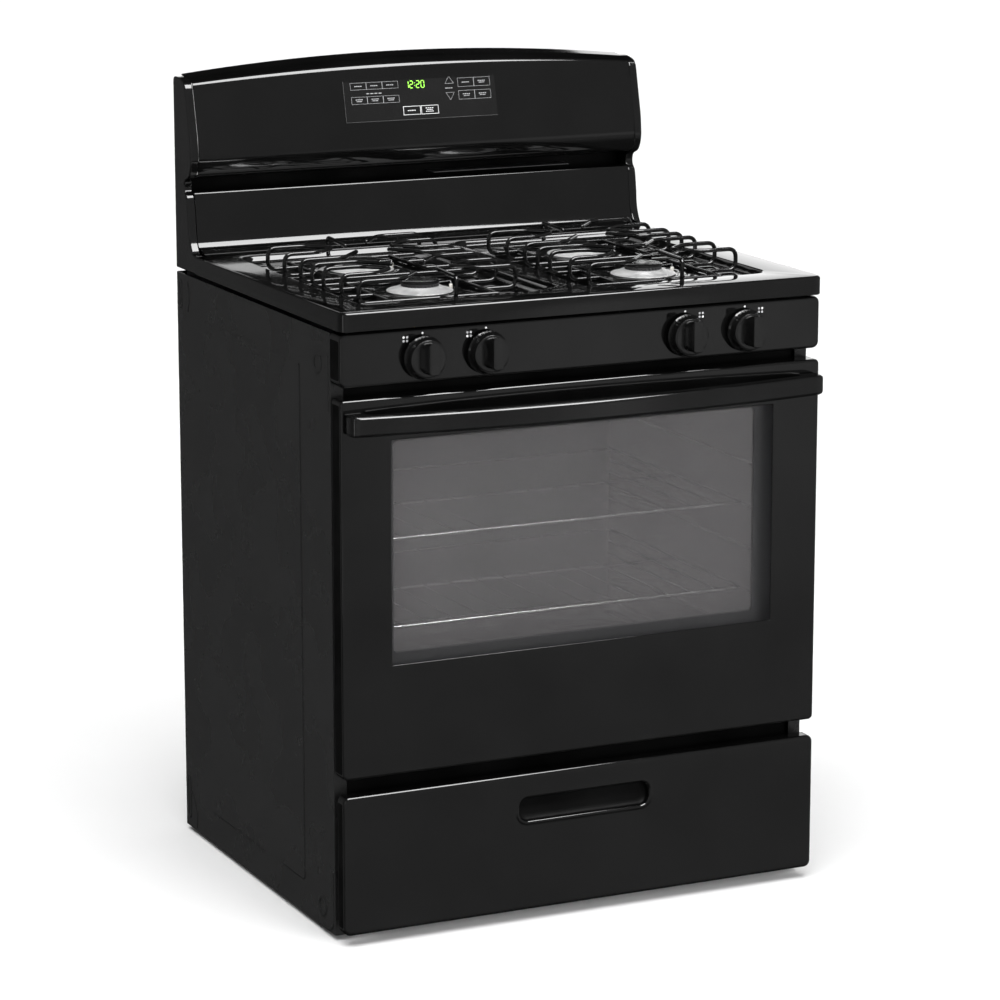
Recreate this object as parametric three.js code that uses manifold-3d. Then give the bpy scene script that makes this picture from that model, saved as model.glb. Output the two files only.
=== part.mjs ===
// Freestanding gas range: a 30 inch slide-out class cooker with four open burners, an oven and a
// storage drawer. Millimetres. X to the right, Y to the rear, Z up. The origin is on the floor,
// under the middle of the range.
import * as THREE from "three";
import { mergeVertices } from "three/addons/utils/BufferGeometryUtils.js";
import Module from "manifold-3d";

const wasm = await Module();
wasm.setup();

// ---------- driving dimensions ----------
const WIDTH = 759; // across the cooktop, which fills a 30 inch gap
const DEPTH = 692; // front of the handle to the rear panel
const DECK = 914; // cooktop surface above the floor, 36 inches
const GUARD_RISE = 284; // top of the backguard above the cooktop, at the middle
const GUARD_DROP = 21.4; // how much lower the backguard's ends are than its middle
const SHEET = 1.2; // steel sheet
const CLEAR = 0.4; // gap between pieces that touch

const REAR = DEPTH / 2;
const HANDLE_FRONT = -DEPTH / 2;
const DECK_FRONT = HANDLE_FRONT + 52;
const PANEL_FRONT = DECK_FRONT + 7.7;
const DOOR_FRONT = DECK_FRONT + 6.4;
const DRAWER_FRONT = DECK_FRONT + 6;
const BODY_FRONT = DECK_FRONT + 43.8;
const FRAME_FRONT = BODY_FRONT + 8;
const BODY_REAR = REAR - SHEET - CLEAR;

const SIDE_HALF = 378; // outer face of a side panel
const SIDE_BOTTOM = 8;
const SIDE_TOP = 880.6;
const BASE_BOTTOM = 10;
const BASE_TOP = 22;

const APRON = 27.4; // height of the cooktop's rim
const WELL_DEPTH = 10;
const WELL = { inner: 28, outer: 322, front: DECK_FRONT + 62, rear: DECK_FRONT + 527, radius: 26 };
const BURNER_X = 179.5;
const BURNER_Y = { front: DECK_FRONT + 182, rear: DECK_FRONT + 393 };
const END_CAP_FRONT = DECK_FRONT + 556;
const END_CAP_WIDTH = 13.2;
const GUARD_HALF = SIDE_HALF - END_CAP_WIDTH - CLEAR;
const HOOD_BOTTOM = DECK + 111;

const PANEL = { half: 378.3, bottom: 807.1, top: 883.6, rear: BODY_FRONT - 0.8, radius: 10 };
const KNOB_X = [-254, -157, 157, 254];
const KNOB_Z = 843;
const KNOB_TRAVEL = 4;

const DOOR = { half: 378.8, bottom: 246.8, top: 790.7, rear: DECK_FRONT + 42 };
const DOOR_WINDOW = { half: 303, bottom: 407, top: 730 };
const INNER_WINDOW = { half: 288, bottom: 417, top: 722 };
const DOOR_PIVOT = { y: DECK_FRONT + 30, z: 252 };
const HINGE_X = 332;

const DRAWER = { half: 379, bottom: 17.2, top: 222.2, depth: 22 };
const PULL = { half: 104, bottom: 152, top: 186, depth: 18, radius: 8 };
const PAN = { half: 334, front: DRAWER_FRONT + DRAWER.depth + CLEAR, rear: 262, bottom: 34, top: 150 };

const OVEN = {
  half: 305,
  front: FRAME_FRONT + SHEET + CLEAR,
  rear: 240,
  floor: 319.5,
  top: 752,
  bottom: 262,
};
const RACK_Z = { upper: 571, lower: 442 };
const RACK_RIBS = [378, 442, 506, 571, 635];

// ---------- building blocks ----------
const shapePoints = (pairs) => new THREE.Shape(pairs.map(([a, b]) => new THREE.Vector2(a, b)));

function solidOf(geometry) {
  const bare = new THREE.BufferGeometry();
  bare.setAttribute("position", geometry.getAttribute("position").clone());
  if (geometry.index) bare.setIndex(geometry.index.clone());
  const merged = mergeVertices(bare, 1e-3);
  const triVerts = new Uint32Array(merged.index.array);
  const vertProperties = new Float32Array(merged.attributes.position.array);
  return new wasm.Manifold(new wasm.Mesh({ numProp: 3, vertProperties, triVerts }));
}

function geometryOf(solid) {
  const mesh = solid.getMesh();
  const geometry = new THREE.BufferGeometry();
  geometry.setAttribute("position", new THREE.BufferAttribute(mesh.vertProperties, 3));
  geometry.setIndex(new THREE.BufferAttribute(mesh.triVerts, 1));
  return geometry;
}

const join = (...parts) => geometryOf(parts.map(solidOf).reduce((a, b) => a.add(b)));
const cut = (body, ...tools) => geometryOf(tools.map(solidOf).reduce((a, b) => a.subtract(b), solidOf(body)));

function box([x0, x1], [y0, y1], [z0, z1]) {
  const geometry = new THREE.BoxGeometry(Math.abs(x1 - x0), Math.abs(y1 - y0), Math.abs(z1 - z0));
  return geometry.translate((x0 + x1) / 2, (y0 + y1) / 2, (z0 + z1) / 2);
}

// A cylinder along one axis, between two places on it, centred on the other two coordinates.
function rod(axis, radius, from, to, [a, b], sides = 16) {
  const geometry = new THREE.CylinderGeometry(radius, radius, Math.abs(to - from), sides);
  const middle = (from + to) / 2;
  if (axis === "x") return geometry.rotateZ(Math.PI / 2).translate(middle, a, b);
  if (axis === "y") return geometry.translate(a, middle, b);
  return geometry.rotateX(Math.PI / 2).translate(a, b, middle);
}

// Extrusions of an outline: drawn in plan, in front view, or in side view.
const extruded = (shape, depth) =>
  new THREE.ExtrudeGeometry(shape, { depth, bevelEnabled: false, curveSegments: 2 });
const planPrism = (shape, z0, z1) => extruded(shape, z1 - z0).translate(0, 0, z0);
const frontPrism = (shape, y0, y1) => extruded(shape, y1 - y0).rotateX(Math.PI / 2).translate(0, y1, 0);
const sideTurn = new THREE.Matrix4().makeBasis(
  new THREE.Vector3(0, 1, 0),
  new THREE.Vector3(0, 0, 1),
  new THREE.Vector3(1, 0, 0),
);
const sidePrism = (shape, x0, x1) => extruded(shape, x1 - x0).applyMatrix4(sideTurn).translate(x0, 0, 0);

function roundedRect([x0, x1], [y0, y1], radius) {
  const r = radius;
  const shape = new THREE.Shape();
  shape.moveTo(x0 + r, y0);
  shape.lineTo(x1 - r, y0);
  shape.absarc(x1 - r, y0 + r, r, -Math.PI / 2, 0);
  shape.lineTo(x1, y1 - r);
  shape.absarc(x1 - r, y1 - r, r, 0, Math.PI / 2);
  shape.lineTo(x0 + r, y1);
  shape.absarc(x0 + r, y1 - r, r, Math.PI / 2, Math.PI);
  shape.lineTo(x0, y0 + r);
  shape.absarc(x0 + r, y0 + r, r, Math.PI, 1.5 * Math.PI);
  return shape;
}

// A round body about the Z axis, from [radius, height] pairs that run from bottom to top.
function turned(profile, sides = 20) {
  const points = profile.map(([r, z]) => new THREE.Vector2(r, z));
  return new THREE.LatheGeometry(points, sides).rotateX(Math.PI / 2);
}

// A wire's centre line: its sections stand at the given points, square to the mean direction there.
class WirePath extends THREE.Curve {
  constructor(points) {
    super();
    this.points = points.map((p) => new THREE.Vector3(...p));
  }
  getPoint(t) {
    return this.points[Math.round(t * (this.points.length - 1))].clone();
  }
  getPointAt(t) {
    return this.getPoint(t);
  }
  getTangentAt(t) {
    const i = Math.round(t * (this.points.length - 1));
    const before = this.points[Math.max(i - 1, 0)];
    const here = this.points[i];
    const after = this.points[Math.min(i + 1, this.points.length - 1)];
    const inward = here.clone().sub(before).normalize();
    const outward = after.clone().sub(here).normalize();
    return inward.add(outward).normalize();
  }
  getSpacedPoints() {
    return this.points.map((p) => p.clone());
  }
}

function wire(points, radius, sides = 6) {
  const section = new THREE.Shape();
  section.absarc(0, 0, radius, 0, 2 * Math.PI);
  return new THREE.ExtrudeGeometry(section, {
    steps: points.length - 1,
    curveSegments: sides / 2,
    extrudePath: new WirePath(points),
  });
}

// A skin through closed rings of points, with flat ends.
function loft(rings) {
  const count = rings[0].length;
  const positions = rings.flat(2);
  const index = [];
  rings.slice(1).forEach((_, k) => {
    for (let i = 0; i < count; i++) {
      const a = k * count + i;
      const b = k * count + ((i + 1) % count);
      index.push(a, b, b + count, a, b + count, a + count);
    }
  });
  const flat = rings[0].map(([, y, z]) => new THREE.Vector2(y, z));
  const last = (rings.length - 1) * count;
  for (const [a, b, c] of THREE.ShapeUtils.triangulateShape(flat, [])) {
    index.push(a, c, b, last + a, last + b, last + c);
  }
  const geometry = new THREE.BufferGeometry();
  geometry.setAttribute("position", new THREE.Float32BufferAttribute(positions, 3));
  geometry.setIndex(index);
  return geometry;
}

const range = new THREE.Group();

function add(name, geometry, finish, at = [0, 0, 0]) {
  const mesh = new THREE.Mesh(geometry, finish);
  mesh.name = name;
  mesh.position.set(...at);
  range.add(mesh);
}

const material = (color, roughness, metalness) =>
  new THREE.MeshStandardMaterial({ color, roughness, metalness });
const enamel = material(0x1b1c1e, 0.15, 0.1);
const darkSteel = material(0x35373a, 0.5, 0.6);
const galvanised = material(0x8d9194, 0.45, 0.8);
const ovenEnamel = material(0x2a2b30, 0.35, 0.1);
const glass = material(0x151618, 0.05, 0.1);
const aluminium = material(0xc9cbcd, 0.3, 0.9);
const chrome = material(0xd8dadc, 0.15, 1.0);
const brass = material(0xb8975a, 0.35, 0.9);
const blackPlastic = material(0x141415, 0.25, 0.0);
const seal = material(0x4a4a48, 0.9, 0.0);

// ---------- body ----------
const FLANGE = { front: 20, rear: 16 };

// A C section standing upright: the wall and its two returns.
function makeSidePanel(side) {
  const inside = SIDE_HALF - SHEET;
  const outline = [
    [SIDE_HALF, BODY_FRONT],
    [SIDE_HALF, BODY_REAR],
    [SIDE_HALF - FLANGE.rear, BODY_REAR],
    [SIDE_HALF - FLANGE.rear, BODY_REAR - SHEET],
    [inside, BODY_REAR - SHEET],
    [inside, BODY_FRONT + SHEET],
    [SIDE_HALF - FLANGE.front, BODY_FRONT + SHEET],
    [SIDE_HALF - FLANGE.front, BODY_FRONT],
  ];
  return planPrism(shapePoints(outline.map(([x, y]) => [side * x, y])), SIDE_BOTTOM, SIDE_TOP);
}
add("side_panel_left", makeSidePanel(-1), enamel);
add("side_panel_right", makeSidePanel(1), enamel);

const REGULATOR = { x: -296, z: 92, radius: 24 };
const POWER_INLET = { x: 290, z: 150 };

// The rear panel narrows above the body, where it closes the back of the backguard up to the hood.
function makeRearPanel() {
  const wide = SIDE_HALF - 1.5;
  const outline = [
    [-wide, 24],
    [wide, 24],
    [wide, SIDE_TOP],
    [GUARD_HALF, SIDE_TOP],
    [GUARD_HALF, HOOD_BOTTOM - CLEAR],
    [-GUARD_HALF, HOOD_BOTTOM - CLEAR],
    [-GUARD_HALF, SIDE_TOP],
    [-wide, SIDE_TOP],
  ];
  const plate = frontPrism(shapePoints(outline), REAR - SHEET, REAR);
  const gasCutout = box([REGULATOR.x - 40, REGULATOR.x + 40], [REAR - 5, REAR + 5], [40, 144]);
  const inletHole = rod("y", 11, REAR - 5, REAR + 5, [POWER_INLET.x, POWER_INLET.z]);
  return cut(plate, gasCutout, inletHole);
}
add("rear_panel", makeRearPanel(), galvanised);

const LEGS = [
  { name: "front_left", x: -350, y: -214 },
  { name: "front_right", x: 350, y: -214 },
  { name: "rear_left", x: -350, y: 312 },
  { name: "rear_right", x: 350, y: 312 },
];
const LEG_STUD = 4.8;

// A flat ring of sheet with the leg holes, and an upstand round its opening.
function rectRing(outer, inner) {
  const ring = roundedRect(...outer, 2);
  ring.holes.push(roundedRect(...inner, 2));
  return ring;
}

function makeBaseFrame() {
  const opening = [[-328, 328], [-198, 298]];
  const plate = planPrism(rectRing([[-374, 374], [-240, 338]], opening), BASE_BOTTOM, BASE_BOTTOM + 2);
  const upstand = planPrism(rectRing([[-330, 330], [-200, 300]], opening), BASE_BOTTOM + 1, BASE_TOP);
  const holes = LEGS.map(({ x, y }) => rod("z", LEG_STUD + CLEAR, 0, 40, [x, y], 12));
  return cut(join(plate, upstand), ...holes);
}
add("base_frame", makeBaseFrame(), darkSteel);

function makeLeg() {
  const sole = rod("z", 15, 0, 6, [0, 0], 12);
  const stud = rod("z", LEG_STUD, 5, 38, [0, 0], 12);
  return join(sole, stud);
}
for (const { name, x, y } of LEGS) add("leveling_leg_" + name, makeLeg(), galvanised, [x, y, 0]);

function makeFrontFrame() {
  const plate = box([-374, 374], [FRAME_FRONT, FRAME_FRONT + SHEET], [BASE_TOP + CLEAR, 812]);
  const mouth = frontPrism(
    roundedRect([-OVEN.half, OVEN.half], [OVEN.floor, OVEN.top], 12),
    FRAME_FRONT - 5,
    FRAME_FRONT + 5,
  );
  const drawerOpening = box([-345, 345], [FRAME_FRONT - 5, FRAME_FRONT + 5], [28, 208]);
  return cut(plate, mouth, drawerOpening);
}
add("front_frame", makeFrontFrame(), enamel);

// ---------- oven ----------
const LINER_WALL = 1.5;
const FLUE = { half: 90, front: 196, rear: 226 };

function makeOvenLiner() {
  const outer = box(
    [-OVEN.half - LINER_WALL, OVEN.half + LINER_WALL],
    [OVEN.front, OVEN.rear + LINER_WALL],
    [OVEN.bottom - LINER_WALL, OVEN.top + LINER_WALL],
  );
  const inner = box([-OVEN.half, OVEN.half], [OVEN.front - 5, OVEN.rear], [OVEN.bottom, OVEN.top]);
  const flue = box([-FLUE.half, FLUE.half], [FLUE.front, FLUE.rear], [OVEN.top - 5, OVEN.top + 5]);
  const shell = cut(outer, inner, flue);
  const floorTop = OVEN.floor - SHEET - CLEAR;
  const inward = (side, width) => [side * (OVEN.half - width), side * (OVEN.half + 1)];
  const ledges = [-1, 1].map((side) =>
    box(inward(side, 18), [OVEN.front, OVEN.rear + 1], [floorTop - LINER_WALL, floorTop]),
  );
  const ribs = [-1, 1].flatMap((side) =>
    RACK_RIBS.map((z) => box(inward(side, 7), [OVEN.front + 12, OVEN.rear - 20], [z - 7, z - 4])),
  );
  return join(shell, ...ledges, ...ribs);
}
add("oven_liner", makeOvenLiner(), ovenEnamel);

function makeOvenFloor() {
  const plate = box(
    [-OVEN.half + CLEAR, OVEN.half - CLEAR],
    [OVEN.front, OVEN.rear - CLEAR],
    [OVEN.floor - SHEET, OVEN.floor],
  );
  const flameSlots = [-1, 1].map((side) =>
    box([side * 262, side * 276], [-180, 170], [OVEN.floor - 5, OVEN.floor + 5]),
  );
  return cut(plate, ...flameSlots);
}
add("oven_floor", makeOvenFloor(), ovenEnamel);

function makeOvenBurner() {
  const tube = rod("y", 16, -200, 232, [0, 288], 12);
  const foot = box([-30, 30], [-150, -140], [OVEN.bottom + CLEAR, 290]);
  const rearFoot = box([-30, 30], [190, 200], [OVEN.bottom + CLEAR, 290]);
  return join(tube, foot, rearFoot);
}
add("oven_burner", makeOvenBurner(), galvanised);

const RACK = { half: 296, front: DECK_FRONT + 75, rear: 214, wire: 5 };

function makeRack() {
  const w = RACK.wire;
  const z = [-w / 2, w / 2];
  const sideRails = [-1, 1].map((side) =>
    box([side * (RACK.half - w), side * RACK.half], [RACK.front, RACK.rear], z),
  );
  const cross = [0, 0.5, 1].map((share) => {
    const y = RACK.front + share * (RACK.rear - RACK.front - w);
    return box([-RACK.half, RACK.half], [y, y + w], z);
  });
  const bars = [];
  const BAR_COUNT = 9;
  for (let i = 1; i <= BAR_COUNT; i++) {
    const x = -RACK.half + (i * 2 * RACK.half) / (BAR_COUNT + 1);
    bars.push(box([x - 1.5, x + 1.5], [RACK.front + 1, RACK.rear - 1], [w / 2 - 3.5, w / 2 - 0.2]));
  }
  return join(...sideRails, ...cross, ...bars);
}
for (const [name, z] of Object.entries(RACK_Z)) add("oven_rack_" + name, makeRack(), chrome, [0, 0, z]);

// ---------- gas supply ----------
const PIPE = { y: DECK_FRONT + 68, radius: 9 };
const VALVE = { front: DECK_FRONT + 32, rear: PIPE.y - PIPE.radius - CLEAR, half: 12, nose: DECK_FRONT + 24 };
const STEM = { radius: 4, front: DECK_FRONT - 15, rear: DECK_FRONT + 38 };
const STEM_BORE = STEM.radius + 0.4;
const KNOB = { front: DECK_FRONT - 35.4, back: DECK_FRONT + 2.4, face: 17.5 };

add("manifold_pipe", rod("x", PIPE.radius, -334, 334, [PIPE.y, KNOB_Z], 12), galvanised);

function makeValve() {
  const body = box([-VALVE.half, VALVE.half], [VALVE.front, VALVE.rear], [-VALVE.half, VALVE.half]);
  const nose = rod("y", 8, VALVE.nose, VALVE.front + 1, [0, 0], 12);
  const bore = rod("y", STEM_BORE, VALVE.nose - 1, STEM.rear + KNOB_TRAVEL + 1, [0, 0], 12);
  return cut(join(body, nose), bore);
}

// A section of the knob's grip: a rectangle with round corners, four steps to each corner.
function gripRing(depth, half, low, high, radius) {
  const points = [];
  for (let corner = 0; corner < 4; corner++) {
    const x = corner === 0 || corner === 3 ? half - radius : radius - half;
    const z = corner < 2 ? high - radius : low + radius;
    for (let k = 0; k <= 4; k++) {
      const turn = ((corner + k / 4) * Math.PI) / 2;
      points.push([depth, x + radius * Math.cos(turn), z + radius * Math.sin(turn)]);
    }
  }
  return points;
}

function makeKnob() {
  const back = KNOB.back;
  const disc = turned(
    [
      [0, 0],
      [30.5, 0],
      [31, 2.5],
      [28, 8],
      [27, 16],
      [25, KNOB.face],
      [0, KNOB.face],
    ],
    18,
  )
    .rotateX(Math.PI / 2)
    .translate(0, back, 0);
  const reach = back - KNOB.front;
  const grip = loft([
    gripRing(KNOB.face - 1.5, 15.6, -20, 24, 13),
    gripRing(reach - 1.6, 8.2, -19.5, 26, 4),
    gripRing(reach, 6.8, -18, 24.6, 3),
  ])
    .rotateZ(-Math.PI / 2)
    .translate(0, back, 0);
  const bore = rod("y", STEM_BORE, STEM.front - 0.6, back + 1, [0, 0], 12);
  return cut(join(disc, grip), bore);
}

const makeStem = () => rod("y", STEM.radius, STEM.front, STEM.rear, [0, 0], 12);

KNOB_X.forEach((x, i) => {
  add("gas_valve_" + (i + 1), makeValve(), brass, [x, 0, KNOB_Z]);
  add("valve_stem_" + (i + 1), makeStem(), brass, [x, 0, KNOB_Z]);
  add("knob_" + (i + 1), makeKnob(), blackPlastic, [x, 0, KNOB_Z]);
});

function makeRegulator() {
  const { x, z, radius } = REGULATOR;
  const body = rod("y", radius, 286, 312, [x, z], 12);
  const inlet = rod("y", 11, 310, REAR - 3, [x, z], 6);
  const outlet = rod("z", 9, z, z + 62, [x, 299], 12);
  return join(body, inlet, outlet);
}
add("gas_regulator", makeRegulator(), galvanised);

// A strain relief for the cord, snapped into the rear panel.
function makePowerInlet() {
  const seat = REAR - SHEET - CLEAR;
  const centre = [POWER_INLET.x, POWER_INLET.z];
  const flange = rod("y", 14, seat - 4, seat, centre, 12);
  const collar = rod("y", 10.4, seat - 16, REAR, centre, 12);
  const bore = rod("y", 6, REAR - 30, REAR + 5, centre, 12);
  return cut(join(flange, collar), bore);
}
add("power_inlet", makePowerInlet(), blackPlastic);

// ---------- cooktop ----------
// The outline in plan: rounded front corners, and cut back at the rear where the end caps stand.
function cooktopOutline(inset) {
  const half = WIDTH / 2 - inset;
  const waist = GUARD_HALF - inset;
  const front = DECK_FRONT + inset;
  const step = END_CAP_FRONT - 1.6 - inset;
  const rear = REAR - 40 - inset;
  const r = 14 - inset;
  const shape = new THREE.Shape();
  shape.moveTo(-half + r, front);
  shape.lineTo(half - r, front);
  shape.absarc(half - r, front + r, r, -Math.PI / 2, 0);
  shape.lineTo(half, step);
  shape.lineTo(waist, step);
  shape.lineTo(waist, rear);
  shape.lineTo(-waist, rear);
  shape.lineTo(-waist, step);
  shape.lineTo(-half, step);
  shape.lineTo(-half, front + r);
  shape.absarc(-half + r, front + r, r, Math.PI, 1.5 * Math.PI);
  return shape;
}

const BURNERS = [
  { name: "front_left", x: -BURNER_X, y: BURNER_Y.front },
  { name: "front_right", x: BURNER_X, y: BURNER_Y.front },
  { name: "rear_left", x: -BURNER_X, y: BURNER_Y.rear },
  { name: "rear_right", x: BURNER_X, y: BURNER_Y.rear },
];
const WELL_FLOOR = DECK - WELL_DEPTH;
const BURNER_HOLE = 16;

function makeCooktop() {
  const apron = planPrism(cooktopOutline(0), DECK - APRON, DECK);
  const underside = planPrism(cooktopOutline(SHEET), DECK - APRON - 1, DECK - SHEET);
  const wells = [-1, 1].map((side) => {
    const xs = side < 0 ? [-WELL.outer, -WELL.inner] : [WELL.inner, WELL.outer];
    const grown = [xs[0] - SHEET, xs[1] + SHEET];
    return {
      pan: planPrism(
        roundedRect(grown, [WELL.front - SHEET, WELL.rear + SHEET], WELL.radius + SHEET),
        WELL_FLOOR - SHEET,
        DECK - SHEET / 2,
      ),
      hollow: planPrism(roundedRect(xs, [WELL.front, WELL.rear], WELL.radius), WELL_FLOOR, DECK + 1),
    };
  });
  const skin = join(cut(apron, underside), ...wells.map((w) => w.pan));
  const holes = BURNERS.map(({ x, y }) => rod("z", BURNER_HOLE, WELL_FLOOR - 5, DECK, [x, y], 16));
  return cut(skin, ...wells.map((w) => w.hollow), ...holes);
}
add("cooktop", makeCooktop(), enamel);

// Heights in these profiles are above the floor of the well.
const headProfile = [
  [0, -30],
  [13, -30],
  [13, 0.4],
  [47, 0.4],
  [48, 1.6],
  [40, 4.4],
  [31, 8],
  [27.5, 8.6],
  [27.5, 13],
  [0, 13],
];
const capProfile = [
  [0, 13.4],
  [27, 13.4],
  [28.4, 14.6],
  [28, 16.2],
  [24.5, 17.6],
  [0, 18.2],
];
for (const { name, x, y } of BURNERS) {
  add("burner_head_" + name, turned(headProfile), aluminium, [x, y, WELL_FLOOR]);
  add("burner_cap_" + name, turned(capProfile), enamel, [x, y, WELL_FLOOR]);
}

// A grate: two long wires and two short ones make its foot; each finger rises from the foot, bends
// inwards and ends above the burner. It is the same piece front and rear, turned half round.
const GRATE = { reach: 131.5, corner: 84, top: 38, wire: 2.9, bend: 9, foot: 82 };
const FINGER_PAIR = { wide: 42, narrow: 22.5, tip: 40 };

function makeGrate() {
  const { reach, corner, wire: r, bend, foot } = GRATE;
  const low = CLEAR + r;
  const high = GRATE.top - r;
  // The leg and its two bends, in the plane v = const, from the foot's wire up to the top arm.
  const leg = (side, v) => [
    [side * foot, v, low],
    [side * (reach - bend), v, low],
    [side * (reach - 2), v, low + 3],
    [side * reach, v, low + bend],
    [side * reach, v, high - bend],
    [side * (reach - 3), v, high - 3],
    [side * (reach - bend), v, high],
  ];
  const cornerFinger = (side, v) => [
    ...leg(side, v),
    [side * 62, v, high],
    [side * 26, v * 0.5, high],
  ];
  const pairLoop = (side, vA, vB) => {
    const tip = [side * FINGER_PAIR.tip, (vA + vB) / 2, high];
    const middle = 76;
    return [
      ...leg(side, vA),
      [side * middle, vA, high],
      tip,
      [side * middle, vB, high],
      ...leg(side, vB).reverse(),
    ];
  };
  const frontReach = 104;
  const frontFinger = [
    [-8, -corner + 2, low],
    [4, -(frontReach - bend), low],
    [9, -(frontReach - 2), low + 3],
    [10, -frontReach, low + bend],
    [10, -frontReach, high - bend],
    [10, -(frontReach - 3), high - 3],
    [11, -(frontReach - bend), high],
    [17, -20, high],
  ];
  const fingers = [
    cornerFinger(-1, corner),
    cornerFinger(-1, -corner),
    cornerFinger(1, corner),
    pairLoop(-1, FINGER_PAIR.wide, -FINGER_PAIR.narrow),
    pairLoop(1, FINGER_PAIR.narrow, -FINGER_PAIR.wide),
    frontFinger,
  ];
  const frame = [
    [[-foot, corner, low], [foot, corner, low]],
    [[-foot, -corner, low], [foot + 2, -corner, low]],
    [[-foot, -corner - 1, low], [-foot, corner + 1, low]],
    [[foot, -corner - 1, low], [foot, corner + 1, low]],
  ];
  return join(...[...fingers, ...frame].map((points) => wire(points, r)));
}
for (const { name, x, y } of BURNERS) {
  const turn = name.startsWith("rear") ? Math.PI : 0;
  add("grate_" + name, makeGrate().rotateZ(turn), darkSteel, [x, y, WELL_FLOOR]);
}

// ---------- control panel ----------
function makeControlPanel() {
  const { half, bottom, top, rear, radius } = PANEL;
  const outer = frontPrism(roundedRect([-half, half], [bottom, top], radius), PANEL_FRONT, rear);
  const inner = frontPrism(
    roundedRect([-half + SHEET, half - SHEET], [bottom + SHEET, top - SHEET], radius - SHEET),
    PANEL_FRONT + SHEET,
    rear + 5,
  );
  const holes = KNOB_X.map((x) => rod("y", 7, PANEL_FRONT - 5, PANEL_FRONT + 5, [x, KNOB_Z], 12));
  return cut(outer, inner, ...holes);
}
add("control_panel", makeControlPanel(), enamel);

// ---------- backguard ----------
// Side view outlines as [distance behind the cooktop's front, height above its surface].
const placed = (pairs) => pairs.map(([d, h]) => [DECK_FRONT + d, DECK + h]);

const riserFront = [
  [548, 1.6],
  [561, 3.4],
  [571, 8],
  [578, 15.5],
  [583, 26],
  [586, 40],
  [588, 62],
  [592, 92],
];
const riserBack = [
  [602, 92],
  [602, 92 - SHEET],
  [592 + SHEET, 92 - SHEET],
  [588 + SHEET, 62],
  [586 + SHEET, 40],
  [583 + SHEET, 25.6],
  [578 + SHEET, 14.8],
  [571.6, 6.8],
  [561.3, 2.1],
  [548, CLEAR],
];
add(
  "backguard_riser",
  sidePrism(shapePoints(placed([...riserFront, ...riserBack])), -GUARD_HALF, GUARD_HALF),
  enamel,
);

// The hood's outline at its ends; heights above HOOD_CROWN_FROM grow towards the middle.
const HOOD_CROWN_FROM = 236;
const HOOD_END_TOP = GUARD_RISE - GUARD_DROP;
const hoodOuter = [
  [640, HOOD_BOTTOM - DECK],
  [600, HOOD_BOTTOM - DECK],
  [583, 114.5],
  [575, 125],
  [570.5, 140],
  [573, 173],
  [588, HOOD_CROWN_FROM],
  [594, 248],
  [603, 257],
  [616, HOOD_END_TOP],
  [640, HOOD_END_TOP],
];
const HOOD_WALL = 2;
const hoodInner = [
  [640 - HOOD_WALL, 100],
  [604, 100],
  [586, 118],
  [578, 127],
  [573, 140],
  [575.4, 173],
  [590.4, HOOD_CROWN_FROM],
  [596, 246.5],
  [604, 255],
  [616.5, HOOD_END_TOP - HOOD_WALL],
  [640 - HOOD_WALL, HOOD_END_TOP - HOOD_WALL],
];

const hoodSpan = HOOD_END_TOP - HOOD_CROWN_FROM;

function hoodRing(outline, x) {
  const crown = GUARD_DROP * (1 - (x / SIDE_HALF) ** 2);
  return placed(outline)
    .map(([y, z]) => {
      const share = Math.max(0, (z - DECK - HOOD_CROWN_FROM) / hoodSpan);
      return [x, y, z + crown * share];
    })
    .reverse();
}

function hoodLoft(outline, half) {
  const SECTIONS = 13;
  const rings = [];
  for (let i = 0; i < SECTIONS; i++) rings.push(hoodRing(outline, -half + (2 * half * i) / (SECTIONS - 1)));
  return loft(rings);
}

const TOUCH = { x: 3, half: 127, low: 184, high: 252, thick: 3, proud: 0.8 };
const hoodFaceTilt = Math.atan2(588 - 573, HOOD_CROWN_FROM - 173);
const touchMiddle = (TOUCH.low + TOUCH.high) / 2;
const touchDepth = 573 + (touchMiddle - 173) * Math.tan(hoodFaceTilt);

// A block lying in the sloping face of the hood, from front to back across the face.
function faceBlock(half, tall, front, back) {
  return box([-half, half], [front, back], [-tall / 2, tall / 2])
    .rotateX(-hoodFaceTilt)
    .translate(TOUCH.x, DECK_FRONT + touchDepth, DECK + touchMiddle);
}

const touchTall = (TOUCH.high - TOUCH.low) / Math.cos(hoodFaceTilt);
const touchSlot = faceBlock(TOUCH.half + 0.6, touchTall + 1.2, -8, 8);
add(
  "backguard_hood",
  cut(hoodLoft(hoodOuter, GUARD_HALF), hoodLoft(hoodInner, GUARD_HALF - HOOD_WALL), touchSlot),
  enamel,
);
add("touch_panel", faceBlock(TOUCH.half, touchTall, -TOUCH.proud, TOUCH.thick - TOUCH.proud), glass);

const endCapOutline = [
  [556, -APRON],
  [556, -0.5],
  [570, 0.5],
  [578, 12],
  [584.5, 29.5],
  [587, 60],
  [592, 86],
  [601, 93],
  [599, 109],
  [581, 114.5],
  [573, 127],
  [570, 141],
  [573, 173],
  [588, 236],
  [600.5, 253],
  [616, HOOD_END_TOP],
  [640, HOOD_END_TOP],
  [640, -APRON],
];
const endCapShape = shapePoints(placed(endCapOutline));
add("backguard_end_cap_left", sidePrism(endCapShape, -SIDE_HALF, -SIDE_HALF + END_CAP_WIDTH), blackPlastic);
add("backguard_end_cap_right", sidePrism(endCapShape, SIDE_HALF - END_CAP_WIDTH, SIDE_HALF), blackPlastic);

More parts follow.
